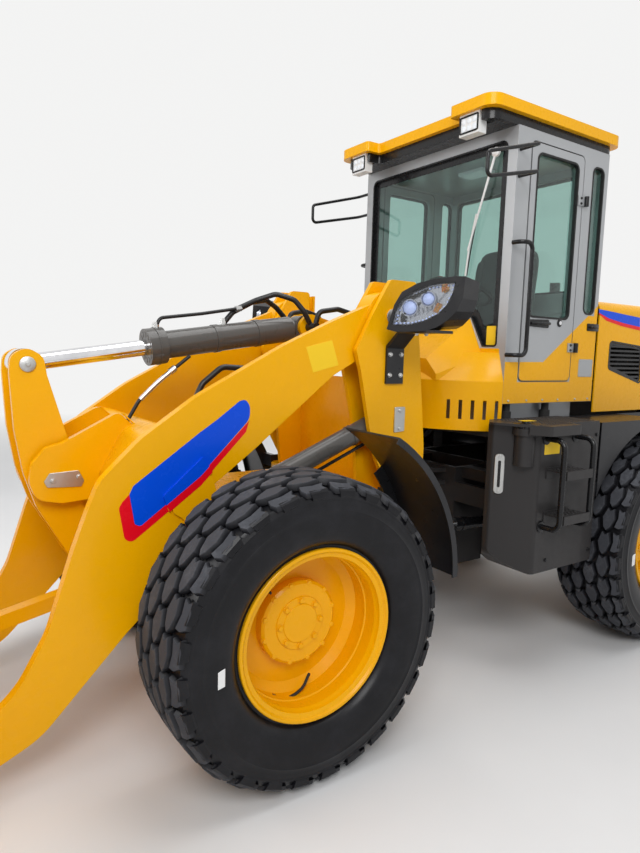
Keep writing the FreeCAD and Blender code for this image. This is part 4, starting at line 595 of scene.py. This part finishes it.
def make_tyre(name, centre, sign):
    """Radial tyre: staggered rows of arrow blocks, shoulder lugs and thin rings on its walls."""
    bm = new()
    # Share of painted light per vertex: 1 on the lugs' tops, 0 on the groove floors and the carcass, as
    # painted shade.
    tread = bm.verts.layers.float.new("tread")
    half = (
        (149, 304), (149, 340), (158, 345), (171, 353), (183, 368), (191, 388), (196, 412),
        (199, 438), (199.6, 462), (199.2, 474), (200, 476), (200, 479), (198.8, 481), (197, 498),
        (194.5, 512), (194, 516), (195, 520), (193.5, 526), (190, 530), (188, 538), (180, 548),
        (160, 553), (120, 557), (60, 560), (20, 561),
    )
    profile = list(half) + [(-y, radius) for y, radius in reversed(half)]
    lathe(bm, (0, 0, 0), OUT, profile, 112, closed=True)
    rows = (
        # outline, share of a pitch that it is moved, drop to the groove's floor, drop of its top
        (CENTRE_BLOCK, 0.0, 25, 0), (MIDDLE_BLOCK, 0.5, 25, 0), (SHOULDER_BLOCK, SHOULDER_MOVED, 22, 5),
    )
    for across, stagger in ((1, 0.0), (-1, 0.5)):
        for outline, moved, drop, sunk in rows:
            points = [Vector(p) for p in outline]
            for lug in range(LUGS):
                tread_block(bm, tread, points, (lug + moved + stagger) * PITCH, drop, sunk, across)
        for lug in range(LUGS):
            shoulder_bar(bm, (lug + SHOULDER_MOVED + stagger) * PITCH, across)
    if sign < 0:
        bmesh.ops.rotate(bm, matrix=Matrix.Rotation(pi, 3, "Z"), verts=bm.verts[:])
    bmesh.ops.translate(bm, vec=centre, verts=bm.verts[:])
    piece = done(bm, f"tire_{name}", tread_rubber, f"wheel_{name}", angle=30)
    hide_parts(f"tyre_{name}")


def each_wheel():
    """Name, side and centre of each wheel in turn."""
    for end in ("front", "rear"):
        for side, sign in SIDES:
            centre = middle(f"rim_{end}_{side}") / MM
            yield f"{end}_{side}", sign, Vector((centre.x - SHIFT / MM, sign * HALF_TRACK, centre.z))


def make_wheels():
    for name, sign, centre in each_wheel():
        make_tyre(name, centre, sign)


def ring_plate(bm, outline, width, depth, place):
    """Flat frame that lies along an outline, from it inwards; a negative width goes outwards."""
    inner = grown(outline, -width)
    rows = ((outline, depth[0]), (outline, depth[1]), (inner, depth[1]), (inner, depth[0]))
    skin(bm, [[place(p.x, p.y, d) for p in row] for row, d in rows], closed=True)


def weld(bm, line):
    """Bead with small ripples along a seam."""
    size = 4.0
    points = []
    for start, end in zip(line, line[1:]):
        start, end = Vector(start), Vector(end)
        count = max(2, int((end - start).length / 7))
        points += [start.lerp(end, i / count) for i in range(count)]
    points.append(Vector(line[-1]))
    spread = len(points) - 1
    tube(bm, points, lambda share: size * (0.82 + 0.18 * (round(share * spread) % 2)), 8)


# Cab: sheet colours, seals and hardware
CAB_SIDE = 600.0
HOOD_SIDE = 600.0
HOOD_REAR = -2500.0
CAB_FACE = -140.0
CAB_FOOT = 1386.0
PANE_FACE = CAB_FACE - 19.0
DOOR_X = (-694.0, -256.0)
DOOR_Z = (1506.0, 2719.0)
DOOR_WINDOW_X = (-652.0, -298.0)
DOOR_WINDOW_Z = (1840.0, 2677.0)
QUARTER_X = (-885.0, -775.0)
QUARTER_Z = (1880.0, 2690.0)
REAR_WINDOW_Y = (-520.0, 520.0)
REAR_WINDOW_Z = (2020.0, 2690.0)
SKIN = (CAB_SIDE - 0.5, CAB_SIDE + 0.8)
SEAL = (CAB_SIDE - 17, CAB_SIDE + 2)
WINDSHIELD = rounded((
    (-540, 2720, 40), (-540, 1680, 20), (-440, 1680), (-350, 1840, 20), (350, 1840, 20), (440, 1680),
    (540, 1680, 20), (540, 2720, 40)))


def make_cab_colours():
    """The lower part of the cab's sides is yellow, up to a line that rises behind the door."""
    bm = new()
    for corners in (
        rectangle((-246, -141), (CAB_FOOT, 1604), 0),
        rectangle((-699, -246), (CAB_FOOT, 1499), 0),
        ((-919, CAB_FOOT), (-699, CAB_FOOT), (-699, 1781), (-775, 1835), (-834, 1876), (-888, 1876),
         (-889, 1914), (-919, 1936)),
    ):
        slab(bm, corners, SKIN, on_side, 0.3)
    pair(bm, "cab_side_yellow", yellow)
    bm = new()
    slab(bm, ((-560, CAB_FOOT), (-560, 1672, 10), (560, 1672, 10), (560, CAB_FOOT)),
         (CAB_FACE - 0.5, CAB_FACE + 0.8), on_front, 0.3)
    done(bm, "cab_front_yellow", yellow)
    for side, sign in SIDES:
        bm = new()
        corners = (
            (DOOR_X[0] + 1, DOOR_Z[0] + 1, 28), (DOOR_X[1] - 1, DOOR_Z[0] + 1, 28), (DOOR_X[1] - 1, 1605),
            (-452, 1607), (DOOR_X[0] + 1, 1778))
        slab(bm, corners, [sign * d for d in SKIN], on_side, 0.3)
        done(bm, f"door_yellow_{side}", yellow, f"door_{side}")


def make_seals():
    """Black rubber round the windows and in the gap round each door."""
    bm = new()
    ring_plate(bm, rectangle(QUARTER_X, QUARTER_Z, 40), 9, SEAL, on_side)
    ring_plate(bm, rectangle((-700, -245), (1500, 2725), 36), 5, (572, 597), on_side)
    pair(bm, "side_seals", rubber)
    bm = new()
    ring_plate(bm, rectangle(REAR_WINDOW_Y, REAR_WINDOW_Z, 40), 12, (-923, -902), on_front)
    done(bm, "rear_window_seal", rubber)
    bm = new()
    ring_plate(bm, WINDSHIELD, 46, (PANE_FACE + 0.4, PANE_FACE + 1.2), on_front)
    ring_plate(bm, WINDSHIELD, 9, (PANE_FACE + 1, CAB_FACE + 2), on_front)
    done(bm, "windshield_border", black)
    for side, sign in SIDES:
        bm = new()
        outline = rectangle(DOOR_WINDOW_X, DOOR_WINDOW_Z, 40)
        ring_plate(bm, outline, 10, (sign * 583, sign * 602.5), on_side)
        done(bm, f"door_window_seal_{side}", rubber, f"door_{side}")


def make_door_hardware():
    """Hinge screws, handle, locks and latch of each door, and the bolted plate behind it."""
    for side, sign in SIDES:
        out = (0, sign, 0)

        def at(x, y, z):
            return Vector((x, sign * y, z))

        bm = new()
        for z in (1690, 2487):
            for dz in (14, -14):
                bolt(bm, at(-676, 608, z + dz), out, 7)
            lathe(bm, at(-715, 614, z - 27), UP, ((0, 11), (1, 13), (53, 13), (54, 11)), 20)
        slab(bm, ((-478, 1790, 10), (-300, 1794, 10), (-292, 1811, 8), (-300, 1830, 10), (-478, 1836, 10)),
             (sign * 599, sign * 604), on_side)
        grip = [at(x, 612 + bow, z) for x, bow, z in (
            (-465, -10, 1813), (-455, 10, 1813), (-400, 15, 1812), (-340, 12, 1811), (-312, 3, 1810))]
        tube(bm, smooth_line(grip), lambda share: 9 - 3 * share, 12)
        lathe(bm, at(-571, 600, 1822), out, ((-2, 21), (3, 21), (5, 18), (6, 12)), 28)
        done(bm, f"door_hardware_{side}", black, f"door_{side}")
        bm = new()
        lathe(bm, at(-571, 606, 1822), out, ((-1, 11), (2, 11), (3, 8)), 24)
        lathe(bm, at(-470, 604, 1813), out, ((-1, 9), (4, 9), (5, 7)), 20)
        done(bm, f"door_lock_{side}", chrome, f"door_{side}")
    bm = new()
    block(bm, (-935, -826), (598, 606), (1790, 1832))
    tube(bm, smooth_line(((-905, 604, 1811), (-900, 622, 1811), (-850, 624, 1811), (-842, 606, 1811))), 6, 10)
    pair(bm, "door_latches", black)
    bm = new()
    slab(bm, rectangle((-905, -772), (1527, 1628), 8), (600, 603), on_side)
    side_bolts(bm, 603, 4, (-893, 1539), (-893, 1616), (-784, 1539), (-784, 1616), washer=False)
    pair(bm, "side_cover_plates", grey)
    bm = new()
    side_bolts(bm, SKIN[1], 6, *((x, 1401) for x in (-183, -330, -465, -600, -760, -880)))
    pair(bm, "cab_edge_bolts", steel)


def make_wiper():
    """Parked wiper: a pale arm from the windshield's top and its blade with a rubber lip."""
    x = PANE_FACE + 26
    top, low = Vector((x, 466, 2672)), Vector((x + 2, 309, 2193))
    bm = new()
    lathe(bm, (CAB_FACE - 2, 466, 2672), (1, 0, 0), ((0, 24), (14, 24), (20, 16), (24, 14)), 24)
    tube(bm, (top, low), lambda share: 7 - 2.5 * share, 10)
    heel = low + Vector((-10, -16, -130))
    head = low + Vector((-10, 40, 190))
    tube(bm, (heel, low + Vector((-6, 4, 10)), head), 5, 8)
    done(bm, "wiper_arm", white)
    bm = new()
    back = Vector((-9, 0, 0))
    tube(bm, (heel + back, low + back * 1.6 + Vector((-6, 4, 10)), head + back), 4, 6)
    done(bm, "wiper_blade", rubber)


def make_labels():
    """Small bare plates and stickers where the machine carries them."""
    bm = new()
    slab(bm, rectangle((452, 536), (1690, 1790), 3),
         (PANE_FACE + 1.4, PANE_FACE + 2.2), on_front)
    done(bm, "windshield_label", blank_label)
    bm = new()
    slab(bm, rectangle((-1480, -1560), (1660, 1760), 4), (HOOD_SIDE, HOOD_SIDE + 0.8), on_side)
    pair(bm, "hood_labels", blank_label, "hood")
    bm = new()
    slab(bm, ((1000, 1648, 3), (864, 1682, 3), (824, 1572, 3), (960, 1538, 3)),
         (BOOM_FACE - 0.5, BOOM_FACE + 0.7), on_side)
    pair(bm, "boom_labels", blank_label, "boom")
    bm = new()
    lathe(bm, (PANE_FACE + 1, 500, 1664), (1, 0, 0), ((0, 11), (4, 11), (7, 8)), 20)
    pair(bm, "windshield_screws", steel)


def cushion(bm, centre, size, turn=0.0, crowned=0.12):
    """Crowned closed pad: rounded corners, sides that pull in between them."""
    own = new()
    bmesh.ops.create_cube(own, size=2)
    bmesh.ops.subdivide_edges(own, edges=own.edges[:], cuts=10, use_grid_fill=True)
    spin = Matrix.Rotation(turn, 3, "Y")
    for vert in own.verts:
        p = vert.co.copy()
        length = (abs(p.x) ** 7 + abs(p.y) ** 7 + abs(p.z) ** 7) ** (1 / 7)
        p /= length
        bulge = 1 + crowned * (1 - p.x ** 2) * (1 - p.y ** 2)
        p.z *= bulge
        p.x *= 1 - 0.02 * (1 - p.y ** 2)
        p.y *= 1 - 0.02 * (1 - p.x ** 2)
        vert.co = Vector(centre) + spin @ Vector((p.x * size[0], p.y * size[1], p.z * size[2]))
    mesh = bpy.data.meshes.new("pad")
    own.to_mesh(mesh)
    own.free()
    bm.from_mesh(mesh)
    bpy.data.meshes.remove(mesh)


def make_seat():
    """Suspension seat with crowned pads, piped seams, folded armrests and a box base."""
    bm = new()
    cushion(bm, (-580, 0, 1662), (205, 228, 50))
    cushion(bm, (-808, 0, 2015), (50, 215, 290), radians(-7), 0.0)
    for sign in (1, -1):
        cushion(bm, (-600, sign * 196, 1690), (180, 34, 30))
        cushion(bm, (-792, sign * 182, 2000), (42, 36, 250), radians(-7), 0.0)
    pads = done(bm, "seat_pads", seat_cloth, angle=60)
    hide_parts("seat")
    bm = new()
    for height in (1862, 1960, 2060, 2160):
        x = -760 - (height - 1720) * 0.115
        tube(bm, smooth_line(((x, -140, height), (x + 5, 0, height), (x, 140, height))), 3, 6)
    for y in (-60, 60):
        tube(bm, smooth_line(((-740, y, 1712), (-600, y, 1720), (-420, y, 1712))), 3, 6)
    done(bm, "seat_seams", rubber)
    bm = new()
    block(bm, (-760, -420), (-198, 198), (1281, 1340), 8)
    block(bm, (-735, -445), (-175, 175), (1340, 1560), 14)
    block(bm, (-770, -410), (-205, 205), (1560, 1625), 12)
    for sign in (1, -1):
        block(bm, (-800, -470), sorted((sign * 212, sign * 236)), (1850, 1882), 8)
    done(bm, "seat_base", moulded)


def make_cab_fittings():
    """Dashboard pod with bare dials, ceiling lamp and emergency hammer."""
    bm = new()
    block(bm, (-330, -200), (-190, 190), (1872, 1915), 12)
    block(bm, (-560, -300), (-330, -262), (1700, 1905), 10)
    for y in (-150, 150):
        bar(bm, (-330, y * 0.25, 1880), (-372, y, 1925), 6, 10)
    done(bm, "dash_pod", trim)
    for name, finish, z, profile in (
        ("dial_rims", chrome, 1915, ((-3, 36), (4, 36), (6, 31))),
        ("dial_faces", black, 1917, ((0, 31), (2.5, 31))),
    ):
        bm = new()
        for y in (-110, 0, 110):
            lathe(bm, (-262, y, z), (-0.35, 0, 1), profile, 28)
        done(bm, name, finish)
    bm = new()
    block(bm, (-560, -440), (-95, 95), (2712, 2734), 5)
    done(bm, "ceiling_lamp", lamp_white)
    bm = new()
    tube(bm, ((-780, -548, 2010), (-780, -548, 2160)), 8, 12)
    block(bm, (-800, -760), (-562, -534), (2150, 2182), 5)
    done(bm, "hammer", red)


LENS_TURN = radians(33)
LENS_CENTRE = (620.0, 720.0)
LAMP_FLOOR = -44.0
PROJECTORS = ((-20, 1830, 34), (60, 1868, 30))
LAMP_PANE = (
    (-91, 1752, 4), (-80, 1812, 30), (-56, 1859, 30), (-6, 1896, 30), (69, 1926, 20), (132, 1935),
    (181, 1935, 5), (174, 1892, 30), (149, 1837, 30), (113, 1800, 30), (52, 1769, 20), (-12, 1753, 20))
FENDER_CENTRE = (1224, 628, 682)
FENDER_BOLT_RADIUS = 722.5


def on_lens(s, z, d):
    """Point on the headlight's slanted face, d in front of it."""
    return Vector((LENS_CENTRE[0] - s * sin(LENS_TURN) + d * cos(LENS_TURN),
                   LENS_CENTRE[1] + s * cos(LENS_TURN) + d * sin(LENS_TURN), z))


def make_headlights():
    """What shows through each headlight's pane, and the bolts of its bracket and of the fender."""
    facing = (cos(LENS_TURN), sin(LENS_TURN), 0)
    outline = rounded(LAMP_PANE, 3)
    bm = new()
    inner = grown(outline, -3)
    rows = ((inner, -9), (inner, -43), (grown(outline, -26), LAMP_FLOOR))
    skin(bm, [[on_lens(p.x, p.y, d) for p in row] for row, d in rows], caps=False)
    bm.faces.new([bm.verts.new(on_lens(p.x, p.y, LAMP_FLOOR)) for p in grown(outline, -26)])
    for s, z, size in PROJECTORS:
        profile = ((0, size), (16, size + 3), (22, size + 4), (22, size), (8, size * 0.55))
        lathe(bm, on_lens(s, z, -46), facing, profile, 32)
    for i in range(9):
        s, z = 150 * i / 8, 62 * i / 8
        fin = [(s + u, z + w) for u, w in ((-66, 1768), (-54, 1770), (-60, 1792), (-72, 1790))]
        slab(bm, fin, (LAMP_FLOOR, -30), on_lens, 1)
    pair(bm, "headlight_reflectors", mirror_metal, "front_frame")
    bm = new()
    for s, z, size in PROJECTORS:
        ball = size - 5
        lathe(bm, on_lens(s, z, -36), facing, ((0, ball), (10, ball * 0.92), (17, ball * 0.6), (20, 1)), 32)
    strip = grown(outline, -12)
    for a, b in zip(strip, strip[1:] + strip[:1]):
        if (b - a).length > 4:
            count = max(1, int((b - a).length / 14))
            for k in range(count):
                p = a.lerp(b, (k + 0.5) / count)
                lathe(bm, on_lens(p.x, p.y, -30), facing, ((0, 4), (3, 4), (5, 1.5)), 10)
    pair(bm, "headlight_leds", led_blue, "front_frame")
    bm = new()
    ring_plate(bm, outline, 5, (-10, -3), on_lens)
    slab(bm, ((-60, 1768, 6), (-38, 1772, 6), (-34, 1812, 6), (-56, 1806, 6)), (LAMP_FLOOR, -24), on_lens, 2)
    slab(bm, ((-30, 1858, 6), (60, 1898, 6), (58, 1912, 6), (-34, 1872, 6)), (LAMP_FLOOR, -24), on_lens, 2)
    pair(bm, "headlight_bezels", black, "front_frame")
    bm = new()
    for corners in (
        ((117, 1928, 3), (143, 1928, 3), (140, 1904, 3), (119, 1892, 3)),
        ((83, 1812, 3), (103, 1850, 3), (116, 1850, 3), (93, 1812, 3)),
    ):
        slab(bm, corners, (-30, -14), on_lens, 2)
    pair(bm, "headlight_ambers", amber, "front_frame")
    bm = new()
    side_bolts(bm, 522, 11, (500, 1626), (566, 1626), (500, 1530), (566, 1530))
    for x in (505, 562):
        bolt(bm, (x, 690, 1721), (0, 0, -1), 10)
    for angle in (128, 140, 152, 164):
        away = (cos(radians(angle)), 0, sin(radians(angle)))
        bolt(bm, [c + FENDER_BOLT_RADIUS * a for c, a in zip(FENDER_CENTRE, away)], away, 9)
    pair(bm, "lamp_and_fender_bolts", steel, "front_frame")


# Lift arms, tower and linkage
BOOM_FACE = 472.5
CLEVIS_FACE = 482.0
TOWER_FACE = 510.0
TILT_BASE = Vector((730, 0, 1750))
TILT_EYE = Vector((2050, 0, 1550))
GLAND_REACH = 823
BUCKET_PIN = Vector((2370, 0, 200))
LIFT_PINS = ((500, 1330), (1480, 930))
LIFT_Y = 432
PIPE_Y = 108


def make_stripes():
    """Side stripes of the lift arms and hood: plain fields of colour, with no words."""
    blue_field = (
        (1771, 1079, 12), (1756, 1110, 20), (1489, 1300), (1417, 1347), (1316, 1421, 14), (1288, 1427, 22),
        (1268, 1400, 40), (1268, 1345, 60), (1487, 1126), (1730, 950, 16), (1752, 962, 12))
    red_field = (
        (1771, 1079), (1797, 1053, 20), (1811, 1031, 24), (1790, 908, 24), (1762, 893, 24), (1487, 1088),
        (1285, 1292, 20), (1271, 1338), (1487, 1126), (1730, 950, 16), (1752, 962, 12))
    # The clevis plate of the lift rod stands proud of the arm inside the stripes.
    blue_on_plate = ((1450, 1163), (1480, 1201), (1642, 1060), (1629, 1023), (1487, 1126))
    red_on_plate = ((1446, 1167), (1487, 1126), (1629, 1023), (1616, 995), (1487, 1088), (1437, 1138))
    face = (BOOM_FACE, BOOM_FACE + 0.7)
    plate = (BOOM_FACE, CLEVIS_FACE + 0.7)
    for name, finish, fields in (
        ("boom_stripe_blue", blue, ((blue_field, face), (blue_on_plate, plate))),
        ("boom_stripe_red", red, ((red_field, face), (red_on_plate, plate))),
    ):
        bm = new()
        for corners, depth in fields:
            slab(bm, corners, depth, on_side, 0.2)
        pair(bm, name, finish, "boom")
    for name, finish, low, high in (
        ("hood_stripe_blue", blue, 0.0, 0.72), ("hood_stripe_red", red, 0.72, 1.0),
    ):
        upper = ((-932, 1920), (-1100, 1910), (-1250, 1900), (-1370, 1893))
        lower = ((-936, 1890), (-1017, 1856), (-1179, 1832), (-1383, 1814))
        rows = [[Vector(u).lerp(Vector(w), share) for u, w in zip(upper, lower)] for share in (low, high)]
        bm = new()
        slab(bm, rows[0] + rows[1][::-1], (HOOD_SIDE, HOOD_SIDE + 0.7), on_side, 0.2)
        pair(bm, name, finish, "hood")


def make_linkage_details():
    """Lock plates, pin caps, bolts and weld beads of the lift arms and their linkage."""
    bm = new()
    slab(bm, ((1859, 1085, 8), (1870, 1061, 8), (2000, 1068, 8), (2012, 1092, 8), (1990, 1124, 8),
              (1880, 1128, 8)), (165, 171), on_side, 1)
    side_bolts(bm, 171, 10, (1979, 1092), (1880, 1101))
    pair(bm, "crank_lock_plates", steel, "boom")
    bm = new()
    lathe(bm, TILT_EYE + Vector((0, 112, 0)), OUT, ((0, 30), (4, 30), (6, 27)), 28)
    bolt(bm, TILT_EYE + Vector((0, 117, 0)), OUT, 10)
    lathe(bm, (1750, 117, 580), OUT, ((0, 28), (2, 28), (3, 26)), 28)
    pair(bm, "crank_pin_caps", steel, "bell_crank")
    bm = new()
    slab(bm, ((454, 1262, 6), (518, 1257, 6), (518, 1379, 6), (454, 1379, 6)),
         (TOWER_FACE, TOWER_FACE + 6), on_side, 1)
    side_bolts(bm, TOWER_FACE + 6, 9, (486, 1275), (486, 1362))
    lathe(bm, (555, 514, 1800), OUT, ((0, 34), (2, 34), (4, 30)), 32)
    pair(bm, "tower_lock_plates", steel, "front_frame")
    bm = new()
    lathe(bm, BUCKET_PIN + Vector((0, 526, 0)), OUT, ((-2, 40), (6, 40), (9, 36)), 32)
    bolt(bm, BUCKET_PIN + Vector((0, 534, 0)), OUT, 11)
    side_bolts(bm, 520, 9, (2338, 236), (2404, 162))
    pair(bm, "bucket_pin_caps", steel, "bucket")
    bm = new()
    for sign in (1, -1):
        y = sign * 166
        weld(bm, ((1700, y, 1352), (1604, y, 1262)))
        weld(bm, ((1648, y, 1098), (1752, y, 1016)))
        weld(bm, [Vector((1480 + 60 * i, sign * 427, 1078 - 38 * i)) for i in range(3)])
    done(bm, "boom_welds", yellow, "boom")
    bm = new()
    for sign in (1, -1):
        weld(bm, ((330, sign * 512, 961), (580, sign * 512, 961)))
        weld(bm, ((520, sign * 353, 1612), (640, sign * 353, 1612), (640, sign * 353, 1778)))
    done(bm, "tower_welds", yellow, "front_frame")


def band(bm, at, along, radii, width, segments):
    """Ring round a barrel, so that rods and pistons pass inside it."""
    inner, edge, outer = radii
    rise = [(0, inner), (0, edge), (1, outer)]
    lathe(bm, at, along, rise + [(width - d, radius) for d, radius in reversed(rise)], segments, True)


def make_barrel_details():
    """Clamp bands, port blocks and the slotted gland of the cylinders."""
    along = (TILT_EYE - TILT_BASE).normalized()
    bm = new()
    for reach in (250, 470):
        band(bm, TILT_BASE + along * reach, along, (60, 63, 66), 28, 48)
    gland = TILT_BASE + along * GLAND_REACH
    for spoke in spokes(along, 12):
        cap = gland + spoke * 58
        bar(bm, cap - along * 4, cap + along * 1.5, 13, 10, 1)
    done(bm, "tilt_barrel_bands", barrel_grey, "tilt_barrel")
    bm = new()
    for at in ((1500, 0, 1715), (1160, -16, 1748)):
        lathe(bm, at, UP, ((-3, 16), (14, 16), (16, 12), (26, 12)), 6)
    lathe(bm, (1105, 2, 1821.5), (-0.98, 0, 0.184), ((0, 15), (30, 15), (32, 12)), 6)
    done(bm, "pipe_fittings", steel, "tilt_barrel")
    bm = new()
    line = ((1452, PIPE_Y, 1538.5), (1530, PIPE_Y, 1476), (1606, PIPE_Y, 1403.5))
    tube(bm, smooth_line(line, 10), 10.6, 16)
    bar(bm, (1448, PIPE_Y, 1541.5), (1474, PIPE_Y, 1521), 15, 16)
    done(bm, "boom_steel_pipe", chrome, "boom")
    for side, sign in SIDES:
        base, end = (Vector((x, sign * LIFT_Y, z)) for x, z in LIFT_PINS)
        along = (end - base).normalized()
        below = Vector((along.z, 0, -along.x))
        bm = new()
        for reach in (220, 640):
            band(bm, base + along * reach, along, (44, 46.5, 49), 22, 40)
        done(bm, f"lift_barrel_bands_{side}", barrel_grey, f"lift_barrel_{side}")
        bm = new()
        bends = ((150, 44), (154, 66), (172, 72), (756, 72), (776, 66), (780, 44))
        tube(bm, smooth_line([base + along * u + below * w for u, w in bends], 6), 8, 12)
        done(bm, f"lift_pipe_{side}", black, f"lift_barrel_{side}")


def make_hubs():
    """Bolts on the hubs, a blank sticker on each tyre's wall, valve stems and hoses."""
    for name, sign, centre in each_wheel():
        body = f"wheel_{name}"

        def at(u, d, w):
            return Vector((centre.x + u, sign * d, centre.z + w))

        bm = new()
        out = Vector((0, sign, 0))
        for reach, radius, count in ((816, 156, 12), (830, 91, 8)):
            for spoke in spokes(out, count):
                bolt(bm, at(0, reach, 0) + spoke * radius, out, 13)
        done(bm, f"hub_bolts_{name}", wheel_yellow, body)
        bm = new()
        corners = [(centre.x + u, centre.z + w) for u, w in ((398, -4), (424, -12), (424, -72), (398, -66))]
        slab(bm, corners, (sign * 994, sign * 999.4), on_side)
        done(bm, f"wall_sticker_{name}", white, body)
        bm = new()
        tube(bm, smooth_line((at(190, 872, 190), at(194, 898, 194), at(188, 924, 188))), 5, 10)
        tube(bm, smooth_line((at(-60, 812, -230), at(-10, 834, -270), at(60, 830, -292), at(110, 814, -270))),
             6, 10)
        done(bm, f"valve_{name}", rubber, body)


TANK_SIDE = 880.0
FILLER = (-54, 823)
STUD_PITCH = 26
CHAMFER_FOOT = Vector((-100, TANK_SIDE, 0))
CHAMFER_ALONG = Vector((140, -175, 0)).normalized()
CHAMFER_OUT = Vector((175, 140, 0)).normalized()


def on_chamfer(s, z, d):
    """Point on the tank's slanted front corner, d in front of it."""
    return CHAMFER_FOOT + CHAMFER_ALONG * s + CHAMFER_OUT * d + Vector((0, 0, z))


def make_tank_details():
    """Filler cap, sight gauge, step treads and bolts of the side tanks."""
    bm = new()
    profile = ((0, 62), (3, 64), (20, 64), (24, 58), (25, 20), (33, 18), (34, 4))
    lathe(bm, (*FILLER, 1290), UP, profile, 40)
    for i in range(20):
        angle = tau * i / 20
        x, y = FILLER[0] + 64 * cos(angle), FILLER[1] + 64 * sin(angle)
        bar(bm, (x, y, 1293), (x, y, 1308), 4, 8, 1)
    pair(bm, "filler_caps", black)
    bm = new()
    label = rounded(((-100, 812, 3), (-20, 802, 3), (-20, 842, 3), (-100, 852, 3)), 3)
    slab(bm, label, (1325, 1326), on_level, 0.3)
    pair(bm, "filler_labels", blank_label)
    bm = new()
    slab(bm, rectangle((160, 208), (955, 1155), 20), (-1, 9), on_chamfer, 2)
    for z in (970, 1140):
        bolt(bm, on_chamfer(184, z, 9), CHAMFER_OUT, 8, washer=False)
    pair(bm, "sight_gauges", steel)
    bm = new()
    slab(bm, rectangle((177, 191), (988, 1122), 6), (8.5, 9.8), on_chamfer, 0.4)
    pair(bm, "gauge_slots", black)
    bm = new()
    slab(bm, rectangle((-255, -135), (1160, 1228), 4), (TANK_SIDE - 0.2, TANK_SIDE + 0.8), on_side, 0.3)
    pair(bm, "tank_labels", blank_label)
    for name, x, y, z in (
        ("platform_grip", (-560, -40), (640, 940), 1312.5),
        ("upper_step_grip", (-360, -165), (888, 990), 1086.5),
        ("lower_step_grip", (-360, -165), (888, 990), 866.5),
    ):
        bm = new()
        for i in range(int((x[1] - x[0]) / STUD_PITCH)):
            for j in range(int((y[1] - y[0]) / STUD_PITCH)):
                u, w = x[0] + STUD_PITCH * (i + 0.5), y[0] + STUD_PITCH * (j + 0.5)
                by_filler = (u - FILLER[0]) ** 2 + (w - FILLER[1]) ** 2 < 85 ** 2
                past_corner = w > TANK_SIDE and u < -300 and z > 1200
                if not (by_filler or past_corner):
                    lathe(bm, (u, w, z), UP, ((-1, 8), (2, 6.5), (2, 4), (-0.4, 3.5)), 10)
        pair(bm, name, charcoal)
    bm = new()
    side_bolts(bm, TANK_SIDE, 10, (-560, 1240), (-560, 620), (-200, 1240), (-200, 620))
    for x in (-145, -380):
        for z in (1240, 800):
            lathe(bm, (x, TANK_SIDE, z), OUT, ((-1, 30), (5, 30), (6, 28)), 24)
    pair(bm, "tank_bolts", black)


WORK_LAMPS = (
    # face along X, way that it looks, middle along Y and Z
    (55, 1, 449, 2773.5), (-974, -1, 470, 2732.5))


def make_lamp_details():
    """Lenses and rims of the roof's work lamps and of the tail lamps."""
    rims, lights = new(), new()
    for x, way, y, z in WORK_LAMPS:
        outline = rectangle((y - 62, y + 62), (z - 42, z + 42), 10)
        ring_plate(rims, outline, 8, (x - way * 2, x + way * 4), on_front)
        for up in (-18, 18):
            for across in (-36, 0, 36):
                lathe(lights, (x, y + across, z + up), (way, 0, 0), ((-1, 15), (2, 15), (4, 11), (5, 3)), 20)
    pair(rims, "work_lamp_rims", black)
    pair(lights, "work_lamp_lenses", lamp_white)
    bm = new()
    slab(bm, rectangle((330, 410), (820, 950), 8), (-2549, -2558), on_front, 1.5)
    housings = pair(bm, "tail_lamp_housings", black)
    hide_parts("tail_lamps")
    for name, finish, low, high in (
        ("tail_lamp_reds", red_lens, 886, 944), ("tail_lamp_ambers", amber, 826, 880),
    ):
        bm = new()
        slab(bm, rectangle((338, 402), (low, high), 6), (-2557, -2563.5), on_front, 1.5)
        pair(bm, name, finish)


def make_hood_details():
    """Grille frames, handles and seams of the hood."""
    bm = new()
    outline = rectangle((-400, 400), (1120, 1740), 30)
    ring_plate(bm, outline, -14, (HOOD_REAR - 3, HOOD_REAR + 1), on_front)
    done(bm, "rear_grille_frame", black, "hood")
    bm = new()
    ring_plate(bm, rounded(((-1435, 1490, 20), (-1075, 1580, 20), (-1075, 1735, 20), (-1420, 1710, 20))), -9,
               (HOOD_SIDE - 1, HOOD_SIDE + 2), on_side)
    pair(bm, "side_grille_frames", black, "hood")
    bm = new()
    for y in (-500, 500):
        bar(bm, (HOOD_REAR - 6, y, 1250), (HOOD_REAR - 6, y, 1330), 9, 12)
        for z in (1250, 1330):
            bar(bm, (HOOD_REAR + 2, y, z), (HOOD_REAR - 10, y, z), 9, 12)
    done(bm, "hood_handles", black, "hood")
    bm = new()
    for x in (-1500, -2050):
        tube(bm, ((x, HOOD_SIDE + 0.2, 1330), (x, HOOD_SIDE + 0.2, 1900)), 1.6, 6)
    pair(bm, "hood_seams", black, "hood")


EDGE_TOP = 25.0


def make_bucket_details():
    """Worn cutting edge, its bolts and the weld beads along the lugs."""
    bm = new()
    slab(bm, ((3349, 0.4), (3160, 0.4), (3160, EDGE_TOP), (3292, EDGE_TOP)), (-1074, 1074), on_side, 0.6)
    done(bm, "cutting_edge", edge_steel, "bucket")
    bm = new()
    for i in range(9):
        bolt(bm, (3205, -960 + 240 * i, EDGE_TOP), UP, 15)
    done(bm, "edge_bolts", edge_steel, "bucket")
    bm = new()
    for y in (380, 400, 500, 520):
        weld(bm, ((2606, y, 190), (2604, y, 510)))
    pair(bm, "bucket_welds", yellow, "bucket")


make_camera()
make_stage()
finish_cad()
make_wheels()
make_cab_colours()
make_seals()
make_door_hardware()
make_wiper()
make_labels()
make_seat()
make_cab_fittings()
make_headlights()
make_stripes()
make_linkage_details()
make_barrel_details()
make_hubs()
make_tank_details()
make_lamp_details()
make_hood_details()
make_bucket_details()
